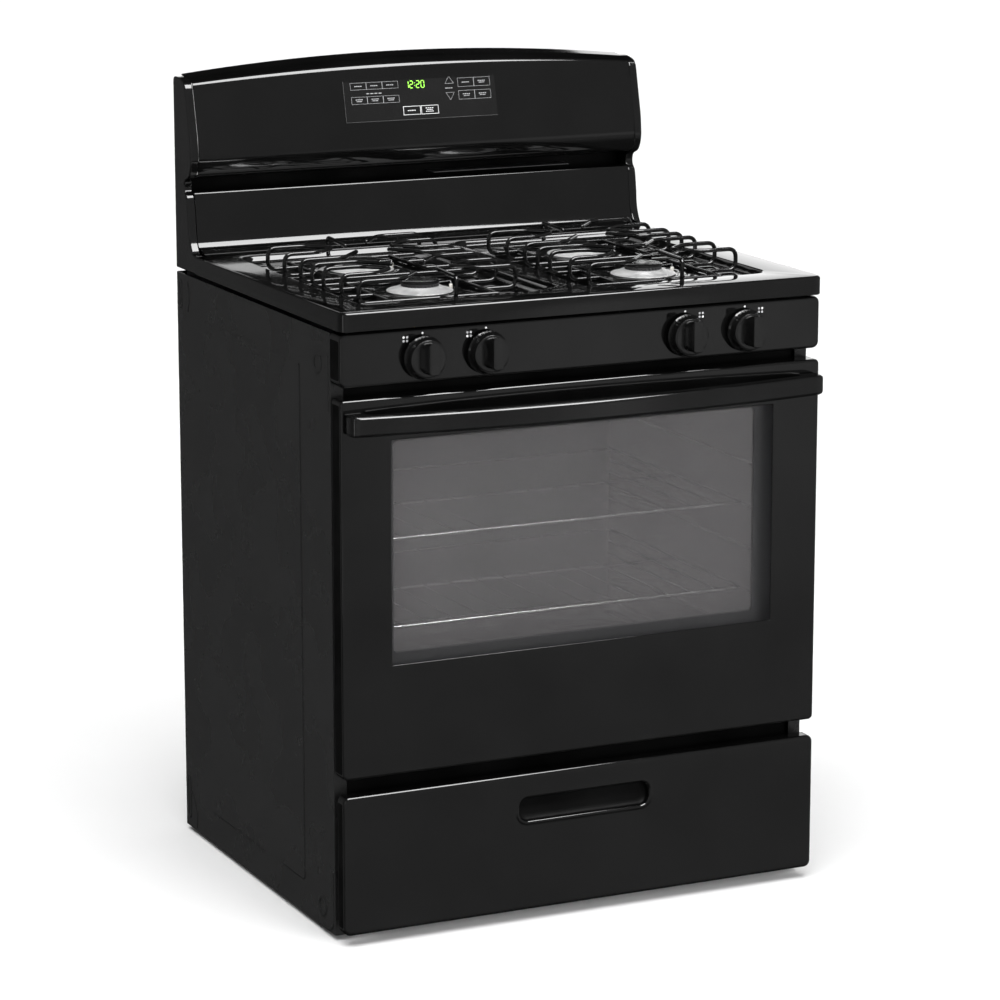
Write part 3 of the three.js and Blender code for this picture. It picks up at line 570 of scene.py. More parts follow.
def add_floor(reach=60.0):
    mesh = bpy.data.meshes.new("floor")
    mesh.from_pydata([(u * reach, v * reach, 0) for u, v in ((-1, -1), (1, -1), (1, 1), (-1, 1))], [],
                     [(0, 1, 2, 3)])
    floor = add_object("floor", mesh)
    material, tree, shader, coords = node_material("floor_paper", Roughness=0.9, Specular_IOR_Level=0.1)
    tone = blend_colours(tree, noise(tree, coords, 1.5, 2), 0.90, 0.93)
    tree.links.new(tone, shader.inputs["Base Color"])
    mesh.materials.append(material)
    floor.visible_glossy = False


add_camera()
add_world()
add_floor()
add_sun()
for box_name, box in SOFT_BOXES.items():
    soft_box(box_name, *box)
bpy.context.scene.view_settings.view_transform = "Standard"


# ---------- body ----------
BODY = "range_body"
for _, side in SIDES:
    keep("side_panel_" + side, "side_paint", 1.0, 3)
    keep("door_hinge_" + side, "galvanised", 0.8)
    keep("drawer_rail_" + side, "galvanised", 0.4)
keep("base_frame", "dark_steel", 0.5)
# The front frame, seen deep in the gaps between the front panels, is drawn near-black as painted shade.
keep("front_frame", "vent_black", 0.5)
keep("oven_liner", "oven_enamel", 0.5)
keep("oven_floor", "oven_enamel", 0.4)
keep("manifold_pipe", "galvanised")
keep("door_inner_panel", "oven_enamel", 0.6, 3)
keep("drawer_pan", "galvanised", 0.4)


def side_bead(name, side, points, closed=False):
    """A pressed line on a side panel, a shallow round ridge of a flattened wire."""
    x = side * (SIDE_HALF + 0.05)
    points = [(x, y, z) for y, z in points]
    verts, faces = tube(points if closed else filleted(points, 12), 3.2, 12, closed)
    flat = [(side * SIDE_HALF + (px - side * SIDE_HALF) * 0.4, y, z) for px, y, z in verts]
    piece(name, flat, faces, BODY, "side_paint")


def side_field(name, side):
    """The raised middle of a side panel."""
    slope = ((2.4, 0.02), (2.0, 0.12), (0.4, 1.28), (0, 1.4))
    pad = raised_pad(-139, 234, 60, 820, 5, slope, lambda y, z, rise: (side * (SIDE_HALF + rise), y, z), 4)
    piece(name, *pad, BODY, "side_paint")


# The beads of a side panel, as (y, z) points; the corners' are open lines and the rest closed loops.
BEADS = {
    "slot_top": rounded(324, 334, 829, 869, 5, 5),
    "slot_bottom": rounded(324, 334, 24, 88, 5, 5),
    "corner_top": [(-243, 770), (-243, 835), (-243, 846), (-205, 846)],
    "corner_bottom": [(-243, 100), (-243, 20), (-232, 12), (-205, 12)],
    "corner_rear_top": [(300, 870), (292, 850), (300, 826)],
    "corner_rear_bottom": [(318, 66), (296, 40), (300, 14)],
    "boss_top": circle(-205, 832, 13, 24),
    "boss_bottom": circle(-205, 40, 13, 24),
}
for side, label in SIDES:
    side_field("side_field_" + label, side)
    for spot, points in BEADS.items():
        side_bead("side_" + spot + "_" + label, side, points, closed="corner" not in spot)


def leg(name, x, y):
    foot, root, crest = 15, 4.15, 4.8
    profile = [(0, 0), (13.6, 0), (foot, 1.4), (foot, 4.6), (13.8, 6), (crest, 6), (crest, 7)]
    pitch, z = 1.4, 7.0
    while z < 36.5:
        profile += [(crest, z + 0.5), (root, z + 0.95), (crest, z + pitch)]
        z += pitch
    profile += [(4.2, 38), (0, 38)]
    nut = prism(circle(x, y, 8, 6), 5.9, 9.4, lambda u, v, h: (u, v, h))
    piece(name, *merged(lathe(profile, 36, (x, y, 0)), nut), BODY, "galvanised", [name])


for row, y in (("front", -214), ("rear", 312)):
    for sign, side in SIDES:
        leg("leveling_leg_" + row + "_" + side, sign * 350, y)


# ---------- cooktop ----------
def cooktop_outline(inset):
    """The plan outline at an inset: rounded front corners, narrower where the end caps stand."""
    half, waist = HALF_WIDTH - inset, GUARD_HALF - inset
    front, step, rear = DECK_FRONT + inset, DECK_FRONT + 556 - 1.6 - inset, REAR - 40 - inset
    radius = 14 - inset
    right = corner(half - radius, front + radius, radius, -90, 6)
    left = corner(-(half - radius), front + radius, radius, 180, 6)
    return right + [
        (half, step), (waist, step), (waist, rear), (-waist, rear), (-waist, step), (-half, step),
    ] + left


ROLL = 4.5  # radius of the cooktop's upper edge
# The well's wall and the boss round a burner, as (inset or radius, height) pairs.
WELL_WALL = [(-4.5, DECK), (-2.5, DECK - 0.35), (-0.8, DECK - 1.6), (0.6, DECK - 4), (2.2, WELL_FLOOR + 3),
             (4, WELL_FLOOR + 1), (6.5, WELL_FLOOR)]
BURNER_BOSS = [(67, 0), (65.5, 0.25), (63.5, 1.1), (61, 1.4), (57, 1.4), (54, 1.0), (51.5, 0.2), (50, 0)]


def add_cooktop():
    bm = bmesh.new()

    def chain(rings):
        loops = [[bm.verts.new(Vector(p) * MM) for p in ring] for ring in rings]
        for a, b in zip(loops, loops[1:]):
            for i in range(len(a)):
                j = (i + 1) % len(a)
                bm.faces.new((a[i], a[j], b[j], b[i]))
        return loops

    def fill(*loops):
        edges = []
        for verts in loops:
            for i, vert in enumerate(verts):
                other = verts[(i + 1) % len(verts)]
                edges.append(bm.edges.get((vert, other)) or bm.edges.new((vert, other)))
        bmesh.ops.triangle_fill(bm, use_beauty=True, edges=edges)

    stages = [(1.6, 889.5), (1.6, 887.4), (0.8, 886.6), (0, 887.4), (0, 893)]
    stages += [(ROLL * (1 - math.cos(angle)), DECK - ROLL * (1 - math.sin(angle))) for angle in quarter(6)]
    apron = chain([level(cooktop_outline(inset), z) for inset, z in stages])
    fill(apron[0])
    rims = []
    front, rear, radius = DECK_FRONT + 62, DECK_FRONT + 527, 26
    for x0, x1 in ((-322, -28), (28, 322)):
        well = chain([
            level(rounded(x0 + i, x1 - i, front + i, rear - i, radius - i, 8), z) for i, z in WELL_WALL
        ])
        rims.append(well[0])
        holes = []
        for _, x, y in BURNERS:
            if x0 < x < x1:
                boss = chain([level(circle(x, y, r, 48), WELL_FLOOR + h) for r, h in BURNER_BOSS])
                holes.append(boss[0])
                fill(boss[-1])
        fill(well[-1], *holes)
    fill(apron[-1], *rims)
    shade(bm, 38)
    mesh = bpy.data.meshes.new("cooktop_pressing")
    bm.to_mesh(mesh)
    bm.free()
    finished(add_object("cooktop_pressing", mesh), BODY, "enamel", ["cooktop"])


add_cooktop()

# Turned profiles of a burner's pieces, as (radius, height above the well's floor).
BURNER_DISH = [(0, 0.4), (47, 0.4), (48, 0.9), (48.1, 1.7), (47.2, 2.4), (44, 3.1), (40, 4.1), (36, 5.6),
               (32, 7.4), (29.5, 8.2), (27.4, 8.5), (0, 8.5)]
BURNER_COLLAR = [(0, 11.8), (27.1, 11.8), (27.5, 12.1), (27.5, 12.8), (27, 13.1), (0, 13.1)]
BURNER_CAP = [(0, 13.3), (27.2, 13.3), (28.2, 13.8), (28.5, 14.6), (28.2, 15.6), (26.9, 16.5), (24, 17.2),
              (19, 17.7), (10, 18.1), (0, 18.2)]
SPARK_POST = [(0, 0.2), (2.6, 0.2), (2.6, 5.6), (1.9, 6.4), (0, 6.4)]


def port_ring(teeth=30, outer=27.2, inner=25.0):
    """The toothed outline of the flame ports."""
    gear = []
    for k in range(teeth):
        for share, radius in ((0.0, outer), (0.58, outer), (0.62, inner), (0.96, inner)):
            angle = 2 * math.pi * (k + share) / teeth
            gear.append((radius * math.cos(angle), radius * math.sin(angle)))
    return gear


def add_burner(label, x, y):
    at = (x, y, WELL_FLOOR)
    piece("burner_dish_" + label, *lathe(BURNER_DISH, 72, at), BODY, "aluminium", ["burner_head_" + label])
    ports = prism(port_ring(), 8.4, 12.4, lambda u, v, h: (x + u, y + v, WELL_FLOOR + h))
    collar = lathe(BURNER_COLLAR, 60, at)
    piece("burner_ports_" + label, *merged(ports, collar), BODY, "dark_steel")
    piece("burner_top_" + label, *lathe(BURNER_CAP, 72, at), BODY, "cap", ["burner_cap_" + label])
    ex, ey = x + 51.5, y + 6
    piece("spark_post_" + label, *lathe(SPARK_POST, 20, (ex, ey, WELL_FLOOR)), BODY, "ceramic")
    wire = [(ex, ey, WELL_FLOOR + 6), (ex, ey, WELL_FLOOR + 11.4), (ex - 19, ey - 2, WELL_FLOOR + 10.6)]
    piece("spark_tip_" + label, *tube(filleted(wire, 3), 0.8, 8), BODY, "chrome")


for burner in BURNERS:
    add_burner(*burner)


# ---------- grates ----------
GRATE = {"reach": 131.5, "corner": 84, "top": 38, "wire": 3.15, "foot": 82}
PAIR = {"wide": 42, "narrow": 22.5, "tip": 40, "middle": 76}


def grate_paths():
    """The wires of a grate about its burner's middle, each with the radius of its bends."""
    reach, far, wire = GRATE["reach"], GRATE["corner"], GRATE["wire"]
    foot, low, high = GRATE["foot"], 0.4 + wire, GRATE["top"] - wire
    bend = 13

    def leg_up(side, v):
        return [(side * foot, v, low), (side * reach, v, low), (side * reach, v, high)]

    def corner_finger(side, v):
        return leg_up(side, v) + [(side * 62, v, high), (side * 26, v * 0.5, high)]

    def pair_loop(side, va, vb):
        there = leg_up(side, va) + [(side * PAIR["middle"], va, high)]
        back = [(side * PAIR["middle"], vb, high)] + leg_up(side, vb)[::-1]
        return there + [(side * PAIR["tip"], (va + vb) / 2, high)] + back

    front = 104
    front_finger = [(-8, -far + 2, low), (9, -front, low), (10, -front, high), (17, -20, high)]
    return [
        (corner_finger(-1, far), bend), (corner_finger(-1, -far), bend), (corner_finger(1, far), bend),
        (pair_loop(-1, PAIR["wide"], -PAIR["narrow"]), bend),
        (pair_loop(1, PAIR["narrow"], -PAIR["wide"]), bend),
        (front_finger, 8),
        ([(-foot, far, low), (foot, far, low)], 1),
        ([(-foot, -far, low), (foot + 2, -far, low)], 1),
        ([(-foot, -far - 1, low), (-foot, far + 1, low)], 1),
        ([(foot, -far - 1, low), (foot, far + 1, low)], 1),
    ]


def add_grate(label, x, y):
    turn = -1 if label.startswith("rear") else 1
    parts = []
    for path, radius in grate_paths():
        verts, faces = tube(filleted(path, radius, 6), GRATE["wire"], 12)
        parts.append(([(x + turn * px, y + turn * py, WELL_FLOOR + pz) for px, py, pz in verts], faces))
    piece("grate_wires_" + label, *merged(*parts), "loose_grate_" + label, "grate", ["grate_" + label])


for burner in BURNERS:
    add_grate(*burner)


# ---------- control panel and knobs ----------
FASCIA = {"half": 378.3, "bottom": 807.1, "top": 883.6}
# The burner that each knob works, and where each burner's dot is in the sign beside the knob.
KNOB_BURNERS = ["rear_left", "front_left", "front_right", "rear_right"]
SIGN_DOTS = {"rear_left": (-1, 1), "front_left": (-1, -1), "front_right": (1, -1), "rear_right": (1, 1)}


def add_control_panel():
    edge, rear = 4.2, -251
    outer = pillow_rings(FASCIA, 10, PANEL_FRONT, rear, edge)
    inner = [panel_ring(FASCIA, -SHEET, 10 - SHEET, y) for y in (rear, PANEL_FRONT + edge)]
    inner.append(panel_ring(FASCIA, -edge, 10 - edge, PANEL_FRONT + SHEET))
    piece("control_fascia", *skin(inner[::-1] + outer), BODY, "enamel", ["control_panel"])
    flank("fascia_flanks", FASCIA["half"], PANEL_FRONT + 5, rear - 1, 817.5, 873, BODY)

    def dot(x, z, radius):
        profile = [(0, 0), (radius, 0), (radius, 0.25), (0, 0.3)]
        return lathe(profile, 20, (x, PANEL_FRONT, KNOB_Z + z), "y")

    marks, faint = [], []
    for x, lit in zip(KNOB_X, KNOB_BURNERS):
        marks.append(dot(x, 34, 1.5))
        sign_x = x + (-26 if x < 0 else 26)
        for name, (sx, sz) in SIGN_DOTS.items():
            (marks if name == lit else faint).append(dot(sign_x + sx * 2.6, 27 + sz * 2.6, 1.7))
    piece("knob_marks", *merged(*marks), BODY, "bright_print")
    piece("burner_signs", *merged(*faint), BODY, "print")


add_control_panel()

KNOB = {"back": DECK_FRONT + 2.4, "face": DECK_FRONT - 15.1, "front": DECK_FRONT - 35.4}
KNOB_DISC = [(0, 0), (30.2, 0), (31, 0.6), (31, 2.4), (30.2, 3.6), (28.8, 5.4), (28.1, 8), (27.6, 12),
             (27.2, 15.2), (26.6, 16.6), (25.2, 17.4), (23.5, 17.6), (0, 17.6)]
SPINDLE = [(0, 0), (3.6, 0), (4, 0.5), (4, 52.6), (3.5, 53), (0, 53)]


def add_knob(number, x):
    number = str(number)
    back, face, front = KNOB["back"], KNOB["face"], KNOB["front"]
    verts, faces = lathe(KNOB_DISC, 144, (x, back, KNOB_Z), "y")
    fluted = []
    for k, (px, py, pz) in enumerate(verts):
        shrink = 0.985 if k % 4 > 1 and 4 < back - py < 16 else 1
        fluted.append((x + (px - x) * shrink, py, KNOB_Z + (pz - KNOB_Z) * shrink))
    # The grip tapers towards the front: each ring at a share of the way, pinched in at the very end.
    ridge = []
    for share, y, pinch in (
        (0.0, face + 1.5, 0), (0.08, face - 0.4, 0), (0.3, face - 5, 0), (0.6, face - 11, 0),
        (0.85, face - 16.6, 0), (0.95, front + 1.9, 0), (0.99, front + 0.5, 0.5), (1.0, front, 1.5),
    ):
        half = 15.4 - 7.4 * share ** 0.75 - pinch
        low, high = KNOB_Z - 20 + 0.5 * share + pinch, KNOB_Z + 24 + 2 * share - pinch
        ridge.append(front_ring(x - half, x + half, low, high, 12.5 - 8.5 * share, y, 5))
    knob = merged((fluted, faces), skin(ridge))
    piece("knob_grip_" + number, *knob, "turning_knob_" + number, "knob", ["knob_" + number], sharp=30)
    spindle = lathe(SPINDLE, 32, (x, DECK_FRONT + 38, KNOB_Z), "y")
    piece("spindle_" + number, *spindle, "stem_" + number, "brass", ["valve_stem_" + number])
    keep("gas_valve_" + number, "brass", 0.7, 3)


for number, x in enumerate(KNOB_X, 1):
    add_knob(number, x)


# ---------- backguard ----------
CROWN = 21.4  # how much higher the hood's middle is than its ends
CROWN_FROM = 236
END_TOP = 284 - CROWN
# Sections of the backguard: pairs of depth behind the cooktop's front and height over it.
RISER_FACE = [(548, 1.6), (566, 2.0), (578, 9), (584, 24), (587, 50), (592, 91.5), (602, 92)]
RISER_BACK = [(602, 90.6), (593.6, 90.2), (588.6, 50), (585.6, 24.4), (579.2, 10), (566.5, 3.4), (548, 0.5)]
HOOD_FACE = [(640, 111), (598, 111), (577, 117), (569.5, 140), (573, 173), (588, CROWN_FROM)]
HOOD_TOP = [(588, CROWN_FROM), (592.4, 254), (612, 259.8), (640, END_TOP)]
HOOD_INSIDE = [(638, END_TOP - 2), (612, 257.4), (595, 252), (590.4, 236), (575.4, 173), (573, 141),
               (579.5, 119.5), (600, 113), (638, 113)]
END_CAP = [(556, -27.4), (556, -0.5), (570, 0.5), (578, 12), (584.5, 29.5), (587, 60), (592, 86), (601, 93),
           (599, 109), (581, 114.5), (573, 127), (570, 141), (573, 173), (588, 236), (592.8, 255.2),
           (612, 260.6), (640, END_TOP), (640, -27.4)]


def placed(pairs):
    return [(DECK_FRONT + depth, DECK + height) for depth, height in pairs]


def smooth_profile(pairs, radius, steps=4):
    path = filleted([(y, z, 0) for y, z in placed(pairs)], radius, steps)
    return [(p.x, p.y) for p in path]


def crowned(section, x):
    """A section of the hood at x, its top lifted by the crown."""
    rise = CROWN * (1 - (x / SIDE_HALF) ** 2)
    return [(x, y, z + rise * max(0.0, (z - DECK - CROWN_FROM) / (END_TOP - CROWN_FROM))) for y, z in section]


def add_backguard():
    riser = smooth_profile(RISER_FACE, 14) + placed(RISER_BACK)
    stations = (-GUARD_HALF, -GUARD_HALF + 2, GUARD_HALF - 2, GUARD_HALF)
    rings = [[(x, y, z) for y, z in riser] for x in stations]
    piece("backguard_cove", *skin(rings), BODY, "enamel", ["backguard_riser"], sharp=50)
    hood = smooth_profile(HOOD_FACE, 14, 6)[:-1] + smooth_profile(HOOD_TOP, 5, 6) + placed(HOOD_INSIDE)
    rings = [crowned(hood, -GUARD_HALF + 2 * GUARD_HALF * k / 40) for k in range(41)]
    piece("backguard_shell", *skin(rings), BODY, "enamel", ["backguard_hood"], sharp=42)
    # The bracket and the vent's back plate that show through the slot; the plate is near-black, painted shade of
    # the slot.
    plate = cuboid((-GUARD_HALF + 1, GUARD_HALF - 1), (336, 337.2), (1000, 1026))
    piece("vent_plate", *plate, BODY, "vent_black")
    lip = cuboid((30, 262), (300, 334), (1012, 1013.2))
    piece("vent_deflector", *lip, BODY, "dark_steel", bevel=(0.4, 2))
    section = smooth_profile(END_CAP, 9)
    for side, label in SIDES:
        a, b = sorted((side * SIDE_HALF, side * (SIDE_HALF - END_CAP_WIDTH)))
        verts, faces = prism(section, a, b, lambda u, v, h: (h, u, v))
        cap = piece("guard_end_" + label, verts, faces, BODY, "gloss_plastic", ["backguard_end_cap_" + label])
        soften(cap, 2.4, 4, 50)


add_backguard()


# ---------- touch panel ----------
TOUCH = {"x": 3, "half": 127, "low": 184, "high": 252, "proud": 0.8}
FACE_TILT = math.atan2(588 - 573, CROWN_FROM - 173)
TOUCH_MIDDLE = (TOUCH["low"] + TOUCH["high"]) / 2
TOUCH_DEPTH = 573 + (TOUCH_MIDDLE - 173) * math.tan(FACE_TILT)
TOUCH_TALL = (TOUCH["high"] - TOUCH["low"]) / math.cos(FACE_TILT)


def on_touch(u, v, out):
    """A point of the touch panel: u to the right and v up from its middle, out in front of its glass."""
    depth = -TOUCH["proud"] - out
    y = DECK_FRONT + TOUCH_DEPTH + depth * math.cos(FACE_TILT) + v * math.sin(FACE_TILT)
    z = DECK + TOUCH_MIDDLE - depth * math.sin(FACE_TILT) + v * math.cos(FACE_TILT)
    return (TOUCH["x"] + u, y, z)


def touch_block(u0, u1, v0, v1, out=0.12):
    verts, faces = cuboid((u0, u1), (v0, v1), (-0.05, out))
    return [on_touch(*v) for v in verts], faces


def outline_key(u0, u1, v0, v1, line=0.35):
    return [
        touch_block(u0, u1, v0, v0 + line), touch_block(u0, u1, v1 - line, v1),
        touch_block(u0, u0 + line, v0 + line, v1 - line), touch_block(u1 - line, u1, v0 + line, v1 - line),
    ]


def key_label(u0, u1, v0, v1, rows=1):
    """Short plain bars where a key would carry its words."""
    bars = []
    middle = (u0 + u1) / 2
    for row in range(rows):
        v = (v0 + v1) / 2 + (rows - 1) * 1.3 - row * 2.6
        reach = (u1 - u0) * (0.24 if row % 2 == 0 else 0.18)
        for k in range(4):
            a = middle - reach + 2 * reach * k / 4
            bars.append(touch_block(a, a + 2 * reach / 4 * 0.7, v - 0.65, v + 0.65))
    return bars


def labelled_key(u0, width, v0, v1, rows, line=0.35):
    return outline_key(u0, u0 + width, v0, v1, line) + key_label(u0, u0 + width, v0, v1, rows)


def triangle(u, v, size, up):
    points = [(u - size, v - up * size * 0.62), (u + size, v - up * size * 0.62), (u, v + up * size * 0.95)]
    strokes = []
    for (u0, v0), (u1, v1) in zip(points, points[1:] + points[:1]):
        along = Vector((u1 - u0, v1 - v0)).normalized()
        du, dv = Vector((-along.y, along.x)) * 0.2
        quad = [(u0 + du, v0 + dv), (u1 + du, v1 + dv), (u1 - du, v1 - dv), (u0 - du, v0 - dv)]
        strokes.append(prism(quad, -0.05, 0.12, on_touch))
    return strokes


def add_touch_panel():
    rings = []
    half, tall = TOUCH["half"], TOUCH_TALL / 2
    for inset, out in ((0.6, -3.0), (0.0, -2.6), (0.0, -0.5), (0.15, -0.15), (0.5, 0.0)):
        outline = rounded(-half + inset, half - inset, -tall + inset, tall - inset, 3 - inset, 5)
        rings.append([on_touch(u, v, out) for u, v in outline])
    piece("touch_overlay", *skin(rings), BODY, "touch", ["touch_panel"])
    # A painted highlight: a thin pale line along the glass's left and bottom edges.
    left, low = -half + 0.2, -tall + 0.2
    edge = [touch_block(left, -left, low, low + 0.6), touch_block(left, left + 0.6, low, -low)]
    piece("touch_edge_highlight", *merged(*edge), BODY, "edge")
    parts = []
    for row, (v0, v1) in enumerate(((14.6, 25.4), (-7.2, 3.8))):
        for k in range(3):
            parts += labelled_key(-115 + k * 26.4, 26.4, v0, v1, 1 + row)
    parts += key_label(-104, -48, 6.6, 9.8)
    parts += triangle(50, 22, 7.2, 1)
    parts += triangle(50, -0.8, 7.2, -1)
    parts += key_label(36, 62, 9, 12)
    for row, (v0, v1) in enumerate(((11.6, 25.2), (-7.8, 5.8))):
        for k in range(2):
            parts += labelled_key(64 + k * 27.2, 27.2, v0, v1, 2 if (row + k) % 3 else 1)
    piece("touch_printing", *merged(*parts), BODY, "print")
    bold = labelled_key(-31, 29, -27.5, -14, 1, 0.8) + labelled_key(-1, 29, -27.5, -14, 3, 0.8)
    piece("touch_main_keys", *merged(*bold), BODY, "bright_print")


# The seven strokes of a digit, as shares of its width and height.
SEGMENTS = {
    "a": (0.12, 0.88, 1.0, 1.0), "d": (0.12, 0.88, 0.0, 0.0), "g": (0.12, 0.88, 0.5, 0.5),
    "b": (1.0, 1.0, 0.56, 0.94), "c": (1.0, 1.0, 0.06, 0.44), "e": (0.0, 0.0, 0.06, 0.44),
    "f": (0.0, 0.0, 0.56, 0.94),
}
DIGITS = {"0": "abcdef", "1": "bc", "2": "abged"}


def add_clock():
    width, height, stroke, low, out = 5.2, 10.6, 1.1, 13.6, 0.15
    parts = []
    for digit, u in (("1", -23.8), ("2", -16.4), ("2", -5.6), ("0", 2.4)):
        for name in DIGITS[digit]:
            a0, a1, b0, b1 = SEGMENTS[name]
            u0, u1 = u + a0 * width, u + a1 * width
            v0, v1 = low + b0 * height, low + b1 * height
            if u0 == u1:
                u0, u1 = u0 - stroke / 2, u1 + stroke / 2
            else:
                v0, v1 = v0 - stroke / 2, v1 + stroke / 2
            parts.append(touch_block(u0, u1, v0, v1, out))
    for v in (17.2, 21.2):
        parts.append(touch_block(-8.6, -7.6, v - 0.5, v + 0.5, out))
    piece("clock_digits", *merged(*parts), BODY, "clock")


add_touch_panel()
add_clock()


# ---------- oven inside ----------
def add_rack(label, z, bars=13):
    half, front, rear = 296, DECK_FRONT + 75, 214
    rim = rounded(-half + 2.5, half - 2.5, front + 2.5, rear - 2.5, 10, 5)
    middle = front + 2.5 + (rear - front - 5) * 0.5
    parts = [
        tube(level(rim, z), 2.6, 10, closed=True),
        tube([(-half + 4, middle, z - 1.4), (half - 4, middle, z - 1.4)], 2.4, 8),
    ]
    for k in range(1, bars + 1):
        x = -half + 2 * half * k / (bars + 1)
        parts.append(tube([(x, front + 1, z + 0.6), (x, rear - 1, z + 0.6)], 1.5, 6))
    piece("rack_wires_" + label, *merged(*parts), BODY, "chrome", ["oven_rack_" + label])


add_rack("upper", 571)
add_rack("lower", 442)


def add_oven_burner():
    pipe = tube([(0, -200, 288), (0, 232, 288)], 16, 32, round_ends=False)
    feet = [cuboid((-30, 30), (y, y + 10), (262.6, 290)) for y in (-150, 190)]
    port = [(0, 0), (1.4, 0), (1.4, 0.8), (0, 0.8)]
    ports = [lathe(port, 10, (sign * 15.6, y, 284), "x") for sign, _ in SIDES for y in range(-180, 181, 18)]
    piece("bake_burner", *merged(pipe, *feet, *ports), BODY, "galvanised", ["oven_burner"])


add_oven_burner()


# ---------- oven door ----------
DOOR = {"half": 378.8, "bottom": 246.8, "top": 790.7}
DOOR_REAR = DECK_FRONT + 42
WINDOW = {"half": 303, "bottom": 407, "top": 730}
INNER = {"half": 288, "bottom": 417, "top": 722}
HINGE_X = 332
DOOR_BODY = "oven_door"


def add_door_skin():
    half, bottom, top = DOOR["half"], DOOR["bottom"], DOOR["top"]
    rear, edge, lip = DOOR_REAR - 6, 4.0, 0.9
    rings = pillow_rings(DOOR, 7, DOOR_FRONT, rear, edge)
    for angle in quarter(3):
        grow = lip * (1 - math.sin(angle))
        rings.append(panel_ring(WINDOW, grow, 2 + grow, DOOR_FRONT + lip * (1 - math.cos(angle))))
    rings += [
        panel_ring(WINDOW, 0, 2, DOOR_FRONT + SHEET),
        panel_ring(DOOR, -edge, 4, DOOR_FRONT + SHEET),
        panel_ring(DOOR, -SHEET, 5.8, DOOR_FRONT + edge),
        panel_ring(DOOR, -SHEET, 5.8, rear),
    ]
    shell = piece("door_skin", *skin(rings, loop=True), DOOR_BODY, "enamel", ["door_frame"])
    cut_out(shell, [
        cuboid((side * HINGE_X - 12, side * HINGE_X + 12), (DOOR_FRONT + 1.8, rear + 5), (bottom - 5, 272))
        for side, _ in SIDES
    ])
    lug_x = [side * HINGE_X + end * 9 for side in (-1, 1) for end in (-1, 1)]
    lugs = [cuboid((x - 1.5, x + 1.5), (DOOR_FRONT + 1.3, -257), (bottom + 0.6, bottom + 16)) for x in lug_x]
    piece("door_lugs", *merged(*lugs), DOOR_BODY, "dark_steel", bevel=(0.6, 2))
    flank("door_flanks", half, DOOR_FRONT + 5, rear - 1, bottom + 7.5, top - 7.5, DOOR_BODY)


def add_door_glass():
    pane = [
        panel_ring(WINDOW, -inset, 2 - inset, DOOR_FRONT + depth)
        for inset, depth in ((0.4, 4.3), (0.4, 0.7), (0.6, 0.4), (1.0, 0.3))
    ]
    piece("window_pane", *skin(pane), DOOR_BODY, "clear", ["door_outer_glass"])
    back = DOOR_REAR - 1.6
    pane = [panel_ring(INNER, grow, 8, back - d) for grow, d in ((6.5, 3.5), (7, 3.0), (7, 0.5), (6.5, 0))]
    piece("inner_pane", *skin(pane), DOOR_BODY, "screen", ["door_inner_glass"])
    # A black mask in front of the inner pane hides the door's hollow.
    mask = [
        panel_ring(INNER, grow, 6 + grow / 8, back - depth)
        for grow, depth in ((34, 5.4), (34, 4.4), (0, 4.4), (0, 5.4))
    ]
    piece("window_mask", *skin(mask, loop=True), DOOR_BODY, "mask")
    # The gasket, a soft rope round the oven's mouth.
    path = upright(rounded(-320.5, 320.5, 304.5, 764.5, 18.5, 8), DOOR_REAR + 4.9)
    piece("gasket_rope", *tube(path, 4.3, 12, closed=True), DOOR_BODY, "gasket", ["door_gasket"])


def add_handle():
    """A bowed bar whose ends turn back to two feet on the door."""
    foot, bottom, top = DOOR_FRONT - 0.3, 743, 772
    sweep, sag, steps = 28, 24, 44
    end = [(373, foot), (373, DECK_FRONT - 12), (371.5, DECK_FRONT - 17.5), (366, DECK_FRONT - 22)]
    heel = [(343.5, foot), (339, DECK_FRONT - 4)]
    outline = [(-x, y) for x, y in end]
    for k in range(steps + 1):
        x = -358 + 716 * k / steps
        outline.append((x, HANDLE_FRONT + sweep * (x / 356) ** 2))
    outline += end[::-1] + heel
    for k in range(steps + 1):
        x = 330 - 660 * k / steps
        outline.append((x, DECK_FRONT - 30 + sag * (x / 330) ** 2))
    outline += [(-x, y) for x, y in heel[::-1]]
    verts, faces = prism(outline, bottom, top, lambda u, v, h: (u, v, h))
    soften(piece("handle_bar", verts, faces, DOOR_BODY, "gloss_plastic", ["door_handle"]), 5.5, 5, 50)


add_door_skin()
add_door_glass()
add_handle()


# ---------- storage drawer ----------
DRAWER = {"half": 379, "bottom": 17.2, "top": 222.2}
DRAWER_BODY = "storage_drawer"
PULL = (-104, 104, 152, 186)
# The pull's rim, a little proud of the face, as (how far round the pull, how far out).
PULL_RIM = ((7.6, 0), (6.6, 0.25), (5.2, 0.85), (3.8, 1.1), (2.5, 0.8), (1.3, -0.3), (0.5, -1.8), (0.1, -3.4))


def pull_ring(grow, radius, y):
    x0, x1, z0, z1 = PULL
    return front_ring(x0 - grow, x1 + grow, z0 - grow, z1 + grow, radius, y)


def pull_pocket():
    """Rings of the pull's pocket, which is deeper at the top than at the lip."""
    _, _, low, high = PULL
    fillet, pocket = 8, 18
    rings = []
    for angle in quarter(6):
        shrink = fillet * (1 - math.cos(angle))
        depth = pocket - fillet * (1 - math.sin(angle))
        rings.append([
            (x, DRAWER_FRONT + depth * (0.48 + 0.52 * (z - low) / (high - low)), z)
            for x, _, z in pull_ring(-shrink, 13 - shrink, 0)
        ])
    return rings


